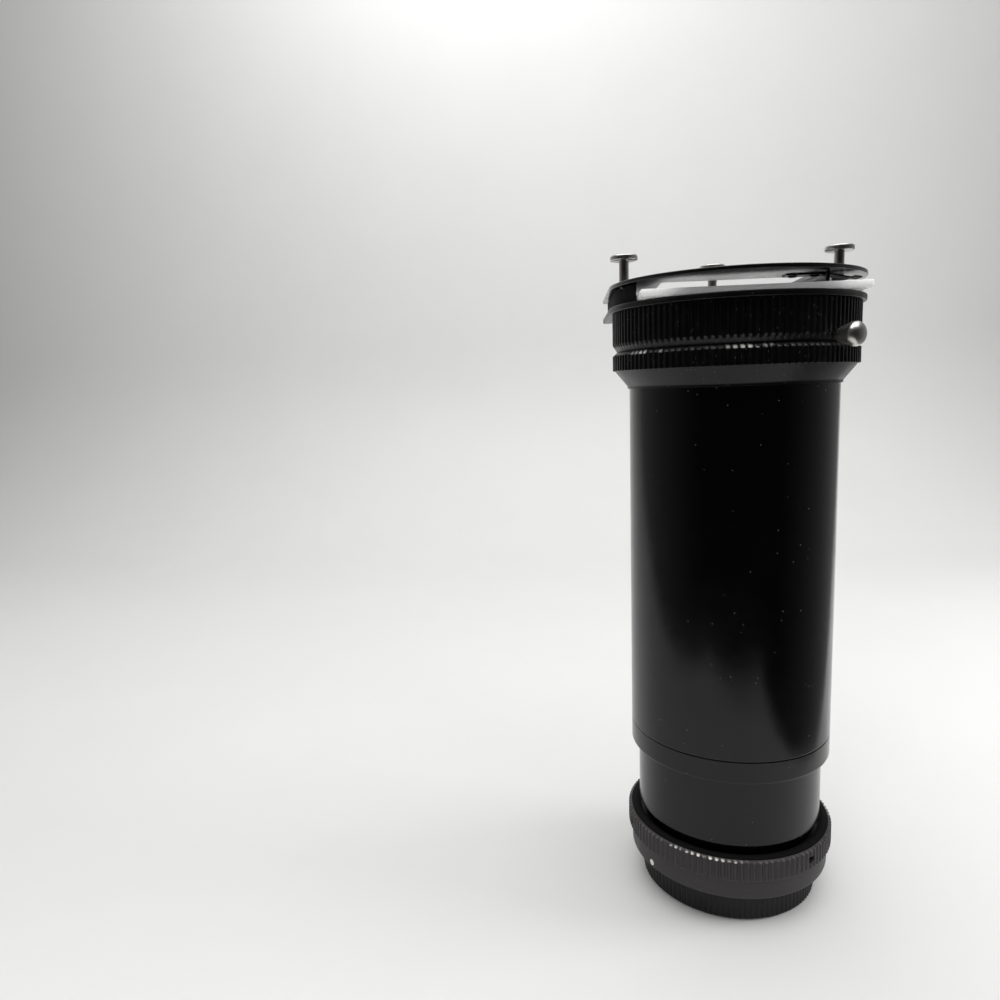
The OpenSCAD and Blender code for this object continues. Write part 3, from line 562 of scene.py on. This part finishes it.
def makeTube():
    t = tubeSizes
    r, b, n = t["radius"], t["barrelRadius"], t["neckRadius"]
    path, room = t["path"], t["room"]
    foot, seat, neck, band, seam = (t[key] for key in ("threadLow", "seat", "neckHigh", "bandLow",
                                                       "low"))
    # each edge has a second ring of points close to it, so that the smooth shading stays even
    barrel = turn("rearBarrel", [(path, foot)] + threadRings(foot, t["threadTurns"])
                  + [(threadSizes["root"], seat), (n - 0.15, seat), (n, seat + 0.15), (n, neck),
                     (b - 0.5, neck), (b - 0.15, neck + 0.15), (b, neck + 0.5), (b, neck + 0.7),
                     (b, band), (r - 0.5, band), (r - 0.15, band + 0.15), (r, band + 0.5),
                     (r, band + 0.7), (r, seam - 0.3), (r, seam - 0.18), (r - 0.05, seam - 0.06),
                     (r - 0.18, seam), (24.15, seam), (24.15, t["barrelHigh"] - 0.2),
                     (23.95, t["barrelHigh"]), (room, t["barrelHigh"]), (room, t["cellSeat"]),
                     (path, t["cellSeat"]), (path, seam), (room, seam), (room, 27.0),
                     (path, 23.9), (path, foot)], t["steps"])
    finishPiece(barrel, "tube", gloss, "gloss_black", "rear_barrel")
    tube = turn("mainTube", [(t["bore"], seam), (r - 0.18, seam), (r - 0.05, seam + 0.06),
                             (r, seam + 0.18), (r, seam + 0.3), (r, t["high"]), (25.2, t["high"]),
                             (25.2, t["tail"] - 0.2), (25.0, t["tail"]),
                             (t["bore"], t["tail"]), (t["bore"], seam)], t["steps"])
    finishPiece(tube, "tube", gloss, "gloss_black", "main_tube")


makeTube()


# copying lens in its cell, with its stop and the baffle
lensSizes = {"radius": 10.5, "crown": 1.3, "margin": 1.5, "edge": 2.2, "steps": 160,
             "rearSeat": 52.2, "frontSeat": 65.0, "stop": 58.6, "stopHole": 1.7, "spacer": 6.2,
             "keeperLow": 67.2, "keeperHigh": 69.7, "cellLow": 47.0, "cellHigh": 71.6}


def lensSection(flat, way):
    # a plano-convex element: the curve is an arc from the rim's margin to the middle
    s = lensSizes
    a = s["radius"] - s["margin"]
    c = (a * a + s["crown"] ** 2) / (2 * s["crown"])
    half = math.asin(a / c)
    arc = [(c * math.sin(half * i / 12), s["edge"] + s["crown"] - c * (1 - math.cos(half * i / 12)))
           for i in range(12, -1, -1)]
    points = [(0, 0), (s["radius"] - 0.1, 0), (s["radius"], 0.1), (s["radius"], s["edge"])] + arc
    return [(r, flat + way * h) for r, h in points]


def makeLens():
    s = lensSizes
    steps, r, stop, hole = s["steps"], s["radius"], s["stop"], s["stopHole"]
    low, high = s["cellLow"], s["cellHigh"]
    cell = turn("lensCell", [(9.3, low), (22.0, low), (22.15, low + 0.15), (22.15, low + 2.35),
                             (22.0, low + 2.5), (13.5, low + 2.5), (13.2, low + 2.8),
                             (13.2, high - 0.5), (12.7, high), (10.7, high), (10.55, high - 0.15),
                             (10.55, low + 3), (9.3, low + 3), (9.3, low)], steps)
    finishPiece(cell, "tube", satin, "satin_black", "lens_cell")
    rear = turn("rearLens", lensSection(s["rearSeat"], -1), steps)
    finishPiece(rear, "tube", glass, "glass", "rear_lens")
    front = turn("frontLens", lensSection(s["frontSeat"], 1), steps)
    finishPiece(front, "tube", glass, "glass", "front_lens")
    spacers = []
    for low in (s["rearSeat"], s["frontSeat"] - s["spacer"]):
        high = low + s["spacer"]
        spacers.append(turn("spacer", [(9.75, low), (r - 0.15, low), (r, low + 0.15),
                                       (r, high - 0.15), (r - 0.15, high), (9.75, high),
                                       (9.6, high - 0.15), (9.6, low + 0.15), (9.75, low)], steps))
    spacers = joinPieces("lensSpacers", spacers)
    finishPiece(spacers, "tube", mattBlack, "satin_black", "lens_spacers")
    blind = turn("apertureStop", [(hole, stop), (hole + 0.2, stop - 0.2), (r - 0.1, stop - 0.2),
                                  (r, stop - 0.1), (r, stop + 0.1), (r - 0.1, stop + 0.2),
                                  (hole + 0.2, stop + 0.2), (hole, stop)], steps)
    finishPiece(blind, "tube", blackSteel, "black_steel", "aperture_stop")
    low, high = s["keeperLow"], s["keeperHigh"]
    keeper = turn("lensRetainingRing", [(9.45, low), (r, low), (r, high - 0.15), (r - 0.15, high),
                                        (9.45, high), (9.3, high - 0.15), (9.3, low + 0.15),
                                        (9.45, low)], steps)
    deselectAll()
    bpy.ops.mesh.primitive_cube_add(size=1, location=(0, 0, high * mm),
                                    scale=(24 * mm, 1.0 * mm, 2.5 * mm))
    cutWith(keeper, bpy.context.object)
    finishPiece(keeper, "tube", satin, "satin_black", "lens_retaining_ring")
    baffle = turn("lightBaffle", [(24.15, 95.75), (24.15, 101.45), (24.0, 101.6), (23.35, 101.6),
                                  (23.35, 99.4), (18.0, 98.65), (18.0, 98.55), (23.35, 97.8),
                                  (23.35, 95.6), (24.0, 95.6), (24.15, 95.75)], 240)
    finishPiece(baffle, "tube", mattBlack, "satin_black", "light_baffle")


makeLens()
print("tube and lens made")


# stage collar, stage ring and lock screw
knurlSizes = {"radius": 30.3, "teeth": 118, "depth": 0.45, "groove": 144.7, "grooveRadius": 29.15,
              "flareLow": 135.3, "flareHigh": 139.9, "top": 154.5, "lockAngle": 308,
              "lockHeight": 145.95, "headRadius": 2.78, "coneHigh": 33.5}
stageSizes = {"radius": 31.2, "plateLow": 154.5, "plateHigh": 155.9, "pressLow": 160.3,
              "pressHigh": 161.25, "window": (35.6, 24.0), "windowRadius": 0.8,
              "pinAngles": (6, 90, 174), "pinRadius": 27.199, "screwRadius": 26.0, "railX": -25.55,
              "corner": 0.6, "viewPlace": (-1.6, -1.3)}


def makeKnurls():
    k = knurlSizes
    r, d, g, inner = k["radius"], k["depth"], k["groove"], k["grooveRadius"]
    bevel = r - inner
    collar = turn("stageCollar", [(25.25, k["flareLow"]), (26.35, k["flareLow"]), (26.46, 135.34),
                                  (26.5, 135.45), (26.5, 135.8), (26.62, 136.05), (26.75, 136.21),
                                  (29.7, k["flareHigh"]), (r - d, k["flareHigh"]),
                                  (r - 0.12, k["flareHigh"]), (r, k["flareHigh"] + 0.12),
                                  (r, 143.5), (r, 143.7), (r - d, 143.7 + d / bevel),
                                  (inner + 0.15, g - 0.13), (inner, g), (26.5, g), (26.5, 147.25),
                                  (27.3, 147.25), (27.3, 151.8), (27.1, 152.0), (24.2, 152.0),
                                  (24.2, 150.05), (25.25, 150.05), (25.25, k["flareLow"])],
                  k["teeth"] * 4)
    # round the listed angles the teeth are rubbed brightest, partly real wear and partly painted
    # glint
    cutTeeth(collar, k["teeth"], r, d, k["flareHigh"], 143.7, [143.7, 143.7 + d / bevel],
             [(-95, 11), (-143, 10), (40, 30)])
    finishPiece(collar, "tube", satin, "satin_black", "stage_collar")
    ring = turn("stageRing", [(27.35, g + 0.05), (inner, g + 0.05), (inner + 0.15, g + 0.28),
                              (r - d, g + 0.05 + 1.8 * (bevel - d) / bevel), (r, g + 1.85),
                              (r, g + 2.0), (r, k["top"] - 0.1), (r - 0.1, k["top"]),
                              (22.5, k["top"]), (22.3, k["top"] - 0.2), (22.3, 152.3),
                              (22.5, 152.1), (27.35, 152.1), (27.35, g + 0.05)], k["teeth"] * 4)
    # round the listed angle the teeth are rubbed brightest, partly real wear and partly painted
    # glint
    cutTeeth(ring, k["teeth"], r, d, g + 1.85, k["top"], [g + 1.85], [(60, 25)])
    hole = turn("hole", [(0, 26.2), (1.05, 26.2), (1.05, 31.5), (0, 31.5)], 32,
                (0, 0, k["lockHeight"]), around(1, k["lockAngle"]))
    tails = [turn("hole", [(0, 153.2), (1.3, 153.2), (1.3, 156), (0, 156)], 24,
                  around(stageSizes["pinRadius"], angle)) for angle in stageSizes["pinAngles"]]
    cutWith(ring, hole, *tails)
    finishPiece(ring, "stage", satin, "satin_black", "stage_ring")


def makeLockScrew():
    # turned in one piece: shank, waist, cone and polished round head
    k = knurlSizes
    head = k["headRadius"]
    dome = [(head * math.cos(math.radians(a)), 34.25 + 2.0 * math.sin(math.radians(a)))
            for a in range(0, 90, 6)]
    screw = turn("lockScrew", [(0, 26.55), (0.8, 26.55), (1.0, 26.75), (1.0, 30.35), (1.45, 30.35),
                               (1.58, 30.45), (1.66, 30.7), (head - 0.12, 33.4),
                               (head - 0.04, 33.6), (head, 33.9)]
                 + dome + [(0, 36.25)], 96, (0, 0, k["lockHeight"]), around(1, k["lockAngle"]))
    finishPiece(screw, "lock", nickel, "nickel", "lock_screw", angle=40)
    # below the polished head the plating is tarnished
    screw.data.materials.append(dullNickel)
    out = around(1, k["lockAngle"])
    for face in screw.data.polygons:
        face.material_index = 1 if face.center.dot(out) / mm < k["coneHigh"] else 0


makeKnurls()
makeLockScrew()
print("knurled rings and lock screw made")


# slide stage: two plates, rail, pins, springs and the opal plate
def platePiece(name, inset, low, high, rim):
    # the plates' outline: round in front and square at the back, with two small corners
    r, c = stageSizes["radius"] - inset, stageSizes["corner"]
    points = [around(r, a, low) for a in range(180, 361)]
    points += [Vector((r - c, r - c, 0)) + around(c, a, low) for a in range(0, 91, 15)]
    points += [Vector((c - r, r - c, 0)) + around(c, a, low) for a in range(90, 181, 15)]
    plate = drawLine(name, [point * mm for point in points])
    bpy.ops.mesh.select_all(action="SELECT")
    bpy.ops.mesh.edge_face_add()
    bpy.ops.mesh.extrude_region_move(TRANSFORM_OT_translate={"value": (0, 0, (high - low) * mm)})
    bpy.ops.mesh.select_all(action="SELECT")
    bpy.ops.mesh.normals_make_consistent(inside=False)
    bpy.ops.object.mode_set(mode="OBJECT")
    roundEdges(plate, rim, 3, 50)
    return plate


def markRim(plate, high, rim):
    # marks the points of the upper rim for the wear
    r = stageSizes["radius"]
    wearAndGlint = plate.data.attributes.new("rubAndGlintMark", "FLOAT", "POINT")
    for i, point in enumerate(plate.data.vertices):
        x, y, z = point.co / mm
        away = math.hypot(x, y) if y < 0 else max(abs(x), y)
        if min(away - r, z - high) > -rim - wearAndGlintSizes["rowReach"]:
            wearAndGlint.data[i].value = wearAndGlintSizes["plateRim"]


def windowBlock(low, high, x=0, y=0):
    # the cutter of a picture window: a block with its four upright edges rounded
    width, depth = stageSizes["window"]
    deselectAll()
    bpy.ops.mesh.primitive_cube_add(size=1, location=(x * mm, y * mm, (low + high) / 2 * mm),
                                    scale=(width * mm, depth * mm, (high - low) * mm))
    block = bpy.context.object
    bpy.ops.object.transform_apply(location=True, rotation=True, scale=True)
    bpy.ops.object.mode_set(mode="EDIT")
    bpy.ops.mesh.select_mode(type="EDGE")
    bpy.ops.mesh.select_all(action="DESELECT")
    bpy.ops.object.mode_set(mode="OBJECT")
    for edge in block.data.edges:
        a, b = (block.data.vertices[i].co for i in edge.vertices)
        edge.select = abs(a.z - b.z) > mm
    bpy.ops.object.mode_set(mode="EDIT")
    bpy.ops.mesh.bevel(offset=stageSizes["windowRadius"] * mm, segments=6, affect="EDGES")
    bpy.ops.object.mode_set(mode="OBJECT")
    return block


def roundHoles(places, radius, low, high):
    return [turn("hole", [(0, low), (radius, low), (radius, high), (0, high)], 32, place)
            for place in places]


def countersinks(places, d, high):
    # d is the screws' thread diameter, and high the height of the face that they sit flush in
    return [turn("hole", [(0, high - 9), (d / 2 + 0.05, high - 9), (d / 2 + 0.05, high - d / 2),
                          (d + 0.05, high + 0.05), (d + 0.05, high + 1), (0, high + 1)], 32, place)
            for place in places]


def slottedScrews(name, places, turns, d, high, low, slot):
    # countersunk screws: one is turned and slotted, the others are its copies
    screw = turn("screw", [(0, low), (d / 2 - 0.15, low), (d / 2, low + 0.15),
                           (d / 2, high - d / 2),
                           (d - 0.08, high - 0.08), (d - 0.08, high - 0.02), (d - 0.14, high),
                           (0, high)], 48)
    deselectAll()
    bpy.ops.mesh.primitive_cube_add(size=1, location=(0, 0, high * mm),
                                    scale=(3 * d * mm, slot * mm, 0.8 * mm))
    cutWith(screw, bpy.context.object)
    copies = []
    for place, spin in zip(places, turns):
        twin = copyTurned(screw, spin)
        twin.data.transform(Matrix.Translation(Vector(place) * mm))
        copies.append(twin)
    bpy.data.objects.remove(screw)
    screws = joinPieces(name, copies)
    return finishPiece(screws, "stage", blackSteel, "black_steel")


def makeStagePlate():
    s = stageSizes
    low, high = s["plateLow"], s["plateHigh"]
    pins = [around(s["pinRadius"], a) for a in s["pinAngles"]]
    corners = [around(s["screwRadius"], a) for a in (45, 135, 225, 315)]
    railSpots = [Vector((s["railX"] - 1.85, y, 0)) for y in (-9, 9)]
    plate = platePiece("stagePlate", 0, low, high, 0.25)
    cutWith(plate, windowBlock(low - 1, high + 1), *roundHoles(pins, 1.3, low - 1, high + 1),
            *countersinks(corners, 2.0, high), *roundHoles(railSpots, 0.85, low - 1, high + 1))
    roundEdges(plate, 0.08)
    finishPiece(plate, "stage", satin, "satin_black", "stage_plate")
    screws = slottedScrews("stagePlateScrews", corners, (20, 75, 140, 10), 2.0, high, 153.2, 0.45)
    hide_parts("stage_plate_screws")
    # the rail is sawn off a block that stands 1.3 mm in from the plates' outline
    rail = platePiece("slideRail", 1.3, high, 160.2, 0.15)
    selectPoints(rail, lambda co: True)
    bpy.ops.mesh.bisect(plane_co=(s["railX"] * mm, 0, 0), plane_no=(1, 0, 0), use_fill=True,
                        clear_outer=True)
    bpy.ops.object.mode_set(mode="OBJECT")
    sides = [p for p in pins if p.x < -20]
    cutWith(rail, *roundHoles(sides, 1.65, high - 1, 161), *countersinks(railSpots, 1.6, 160.2))
    roundEdges(rail, 0.12)
    finishPiece(rail, "stage", mattBlack, "satin_black", "slide_rail")
    railScrews = slottedScrews("railScrews", railSpots, (60, 110), 1.6, 160.2, 153.2, 0.4)
    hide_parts("rail_screws")


def makePins():
    # nickelled pins with domed heads, turned once and copied
    s = stageSizes
    section = [(0, 153.2), (1.1, 153.2), (1.25, 153.35), (1.25, 155.9), (1.6, 155.9), (1.6, 160.3),
               (1.25, 160.3), (1.25, 168.13), (3.2, 168.15), (3.42, 168.22), (3.54, 168.4),
               (3.55, 168.5), (3.55, 169.1), (3.52, 169.25), (3.38, 169.42), (3.1, 169.52),
               (2.4, 169.6), (1.2, 169.64), (0, 169.65)]
    first = turn("guidePin", section, 72, (s["pinRadius"], 0, 0))
    pins = [copyTurned(first, angle) for angle in s["pinAngles"]]
    bpy.data.objects.remove(first)
    finishPiece(joinPieces("guidePins", pins), "stage", nickel, "nickel", "guide_pins", angle=40)


springSizes = {"y": 17.0, "width": 4.0, "thick": 0.3, "rivets": (10.01, 15.01), "rivetRadius": 0.6,
               "line": ((8.2, 160.3), (17.2, 160.3), (17.5, 160.27), (22.35, 159.22),
                        (22.61, 159.18), (22.85, 159.22), (23.2, 159.4), (23.41, 159.44),
                        (23.65, 159.4), (25.01, 159.16))}
bladeSizes = {"left": 16.35, "right": 17.15, "low": 157.8, "length": 42.0}


def makeBlade(high):
    # the blade beside the window: its section is drawn once and drawn out along the plate
    b = bladeSizes
    left, right, low, half = b["left"], b["right"], b["low"], b["length"] / 2
    section = [(left + 0.1, low), (right - 0.1, low), (right, low + 0.1), (right, high),
               (left, high), (left, low + 0.1)]
    blade = drawLine("blade", [Vector((x, -half, z)) * mm for x, z in section])
    bpy.ops.mesh.select_all(action="SELECT")
    bpy.ops.mesh.edge_face_add()
    bpy.ops.mesh.extrude_region_move(TRANSFORM_OT_translate={"value": (0, 2 * half * mm, 0)})
    bpy.ops.mesh.select_all(action="SELECT")
    bpy.ops.mesh.normals_make_consistent(inside=False)
    bpy.ops.object.mode_set(mode="OBJECT")
    return blade


def springSlots(high):
    # the blade is cut out where the two springs pass under the plate
    q, b = springSizes, bladeSizes
    x, depth = (b["left"] + b["right"]) / 2, q["thick"] + 0.05
    slots = []
    for side in (-1, 1):
        deselectAll()
        bpy.ops.mesh.primitive_cube_add(size=1, location=(x * mm, side * q["y"] * mm,
                                                          (high - depth / 2) * mm),
                                        scale=(3 * mm, (q["width"] + 0.1) * mm, depth * mm))
        slots.append(bpy.context.object)
    return slots


def makeLeaf(name, side, node):
    q = springSizes
    edge = side * q["y"] - q["width"] / 2
    leaf = drawLine(name, [Vector((x, edge, z)) * mm for x, z in q["line"]])
    bpy.ops.mesh.select_all(action="SELECT")
    bpy.ops.mesh.extrude_region_move(TRANSFORM_OT_translate={"value": (0, q["width"] * mm, 0)})
    bpy.ops.mesh.select_all(action="SELECT")
    bpy.ops.mesh.normals_make_consistent(inside=False)
    bpy.ops.object.mode_set(mode="OBJECT")
    if leaf.data.polygons[0].normal.z < 0:
        leaf.data.flip_normals()
    wall = leaf.modifiers.new("wall", "SOLIDIFY")
    wall.thickness = q["thick"] * mm
    wall.offset = -1
    pick(leaf)
    bpy.ops.object.modifier_apply(modifier="wall")
    spots = [Vector((x, side * q["y"], 0)) for x in q["rivets"]]
    cutWith(leaf, *roundHoles(spots, q["rivetRadius"] + 0.05, 159, 161))
    roundEdges(leaf, 0.04, 1)
    finishPiece(leaf, "pressure", blackSteel, "black_steel", node)


def makePressurePlate():
    s, q = stageSizes, springSizes
    low, high = s["pressLow"], s["pressHigh"]
    pins = [around(s["pinRadius"], a) for a in s["pinAngles"]]
    spots = [Vector((x, side * q["y"], 0)) for x in q["rivets"] for side in (-1, 1)]
    plate = platePiece("pressurePlate", 0, low, high, 0.2)
    combine(plate, "UNION", makeBlade((low + high) / 2))
    cutWith(plate, windowBlock(low - 1, high + 1, *s["viewPlace"]), *springSlots(low),
            *roundHoles(pins, 1.3, low - 1, high + 1), *roundHoles(spots, 0.65, low - 1, high + 1))
    roundEdges(plate, 0.06)
    markRim(plate, high, 0.2)
    finishPiece(plate, "pressure", enamel, "gloss_black", "pressure_plate")
    makeLeaf("nearLeafSpring", -1, "near_leaf_spring")
    makeLeaf("farLeafSpring", 1, "far_leaf_spring")
    rivets = [turn("rivet", [(0, 159.65), (0.75, 159.67), (1.0, 159.78), (1.1, 160.0), (0.6, 160.0),
                             (0.6, high), (1.1, high), (1.0, high + 0.2), (0.7, high + 0.31),
                             (0, high + 0.35)], 32, spot) for spot in spots]
    finishPiece(joinPieces("springRivets", rivets), "pressure", blackSteel, "black_steel",
                "spring_rivets")


opalSizes = {"side": 50.8, "thick": 1.7, "low": 155.95, "y": 0.149, "corner": 0.6}


def makeOpalPlate():
    o = opalSizes
    deselectAll()
    middle = Vector((0, o["y"], o["low"] + o["thick"] / 2))
    bpy.ops.mesh.primitive_cube_add(size=1, location=middle * mm,
                                    scale=(o["side"] * mm, o["side"] * mm, o["thick"] * mm))
    plate = bpy.context.object
    plate.name = plate.data.name = "opalPlate"
    bpy.ops.object.transform_apply(location=True, rotation=True, scale=True)
    bpy.ops.object.mode_set(mode="EDIT")
    bpy.ops.mesh.select_mode(type="EDGE")
    bpy.ops.mesh.select_all(action="DESELECT")
    bpy.ops.object.mode_set(mode="OBJECT")
    for edge in plate.data.edges:
        a, b = (plate.data.vertices[i].co for i in edge.vertices)
        edge.select = abs(a.z - b.z) > mm
    bpy.ops.object.mode_set(mode="EDIT")
    bpy.ops.mesh.bevel(offset=o["corner"] * mm, segments=10, affect="EDGES")
    bpy.ops.object.mode_set(mode="OBJECT")
    roundEdges(plate, 0.15, 3, 60)
    finishPiece(plate, "opal", opal, "opal", "opal_plate")


makeStagePlate()
makePins()
makePressurePlate()
makeOpalPlate()
print("slide stage made")


# floor, light and camera
def paleSurface(name, colour, roughness):
    # matt painted board with a very faint mottle
    material, tree, shader, place = startMaterial(name)
    mottle = addNode(tree, "ShaderNodeTexNoise", {"Scale": 18.0, "Detail": 4.0}, {"Vector": place})
    base = linearColour(colour)
    lower = tuple(c * 0.96 for c in base[:3]) + (1.0,)
    tone = addNode(tree, "ShaderNodeMix", {"data_type": "RGBA", 6: lower, 7: base},
                   {0: mottle.outputs[0]})
    tree.links.new(tone.outputs[2], shader.inputs["Base Color"])
    shader.inputs["Roughness"].default_value = roughness
    return material


# in metres: rows are the floor's y and its left and right ends there
roomSizes = {"bend": 0.18, "back": 0.55, "top": 1.5, "wallLeft": -0.75, "wallRight": 0.45,
             "rows": ((-0.19, -0.12, 0.07), (0.0, -0.27, 0.11), (0.37, -0.62, 0.37))}


def makeRoom():
    # a board that curves up into a plain wall. It ends just outside the view, so that the
    # tube's front and sides stay dark
    o = roomSizes
    bend, back, wallLeft, wallRight = o["bend"], o["back"], o["wallLeft"], o["wallRight"]
    rows = [(y, 0.0, left, right) for y, left, right in o["rows"]]
    y, left, right = o["rows"][-1]
    for degrees in range(10, 91, 10):
        a, share = math.radians(degrees), degrees / 90
        rows.append((y + bend * math.sin(a), bend - bend * math.cos(a),
                     left + (wallLeft - left) * share, right + (wallRight - right) * share))
    rows += [(back, o["top"], wallLeft, wallRight)]
    sweep = drawLine("sweep", [Vector((left, y, z)) for y, z, left, right in rows])
    bpy.ops.mesh.select_all(action="SELECT")
    bpy.ops.mesh.extrude_region_move(TRANSFORM_OT_translate={"value": (1, 0, 0)})
    bpy.ops.object.mode_set(mode="OBJECT")
    for point in sweep.data.vertices:
        left, right = min(rows, key=lambda row: math.hypot(row[0] - point.co.y,
                                                           row[1] - point.co.z))[2:]
        point.co.x = left if abs(point.co.x - left) < 0.01 else right
    selectPoints(sweep, lambda co: True)
    bpy.ops.mesh.normals_make_consistent(inside=False)
    bpy.ops.object.mode_set(mode="OBJECT")
    if sweep.data.polygons[0].normal.z < 0:
        sweep.data.flip_normals()
    pick(sweep)
    bpy.ops.object.shade_smooth_by_angle(angle=math.radians(40))
    sweep.data.materials.append(paleSurface("boardPaintedPale", "#e2e2e1", 0.6))


lightSizes = {
    "topLight": {"place": (0.0, -0.05, 0.8), "aim": (0, 0, 0),
                 "size": (1.0, 0.8), "watts": 6.6},
    "wallLight": {"place": (-0.12, 0.3, 0.7), "aim": (-0.14, 0.55, 0.5),
                  "size": (0.3, 0.1), "watts": 0.8},
    "rightFill": {"place": (0.5, 0.0, 0.22), "aim": (0, 0, 0.158),
                  "size": (0.25, 0.12), "watts": 1.6},
    "frontFill": {"place": (-0.25, -0.6, 0.3), "aim": (0, 0, 0.12),
                  "size": (0.3, 0.3), "watts": 1.4},
}


def makeLights():
    for name, light in lightSizes.items():
        data = bpy.data.lights.new(name, "AREA")
        data.shape = "RECTANGLE"
        data.size, data.size_y = light["size"]
        data.energy = light["watts"]
        lamp = bpy.data.objects.new(name, data)
        bpy.context.scene.collection.objects.link(lamp)
        lamp.location = light["place"]
        way = Vector(light["aim"]) - Vector(light["place"])
        lamp.rotation_euler = way.to_track_quat("-Z", "Y").to_euler()
        # the fills stand for light from all round, so no reflection shows them as spots
        lamp.visible_glossy = not name.endswith("Fill")


def makeWorld():
    # pale for the camera; dim towards the camera's side, so that the tube's front stays dark
    world = bpy.data.worlds.new("room")
    bpy.context.scene.world = world
    world.use_nodes = True
    tree = world.node_tree
    tree.nodes.clear()
    way = addNode(tree, "ShaderNodeTexCoord")
    parts = addNode(tree, "ShaderNodeSeparateXYZ", None, {0: way.outputs["Generated"]})
    front = addNode(tree, "ShaderNodeMapRange", {"From Min": -0.7, "From Max": 0.5, "To Min": 0.015,
                                                 "To Max": 0.35}, {"Value": parts.outputs["Y"]})
    pale = addNode(tree, "ShaderNodeBackground", {"Color": (0.78, 0.79, 0.79, 1), "Strength": 1.0})
    room = addNode(tree, "ShaderNodeBackground", {"Color": (0.8, 0.8, 0.8, 1)},
                   {"Strength": front.outputs["Result"]})
    seen = addNode(tree, "ShaderNodeLightPath")
    mix = addNode(tree, "ShaderNodeMixShader", None, {0: seen.outputs["Is Camera Ray"],
                                                      1: room.outputs[0], 2: pale.outputs[0]})
    addNode(tree, "ShaderNodeOutputWorld", None, {"Surface": mix.outputs[0]})


cameraSizes = {"place": (-42.833, -205.174, 136.714), "yaw": -5.09, "down": 8.334, "roll": 1.884,
               "lens": 27.597}


def makeCamera():
    # stands near and low on the left, and looks past the duplicator, as in the photograph
    c = cameraSizes
    yaw, down, roll = (math.radians(c[key]) for key in ("yaw", "down", "roll"))
    look = Vector((math.sin(yaw) * math.cos(down), math.cos(yaw) * math.cos(down),
                   -math.sin(down)))
    right = Vector((math.cos(yaw), -math.sin(yaw), 0))
    up = right.cross(look)
    tiltedRight = right * math.cos(roll) - up * math.sin(roll)
    tiltedUp = right * math.sin(roll) + up * math.cos(roll)
    data = bpy.data.cameras.new("camera")
    data.lens = c["lens"]
    data.sensor_width = 36.0
    data.clip_start = 0.01
    camera = bpy.data.objects.new("camera", data)
    bpy.context.scene.collection.objects.link(camera)
    turned = Matrix((tiltedRight, tiltedUp, -look)).transposed().to_4x4()
    camera.matrix_world = Matrix.Translation(Vector(c["place"]) * mm) @ turned
    bpy.context.scene.camera = camera


makeRoom()
makeLights()
makeWorld()
makeCamera()
bpy.context.scene.view_settings.view_transform = "Standard"
print("room, light and camera made")
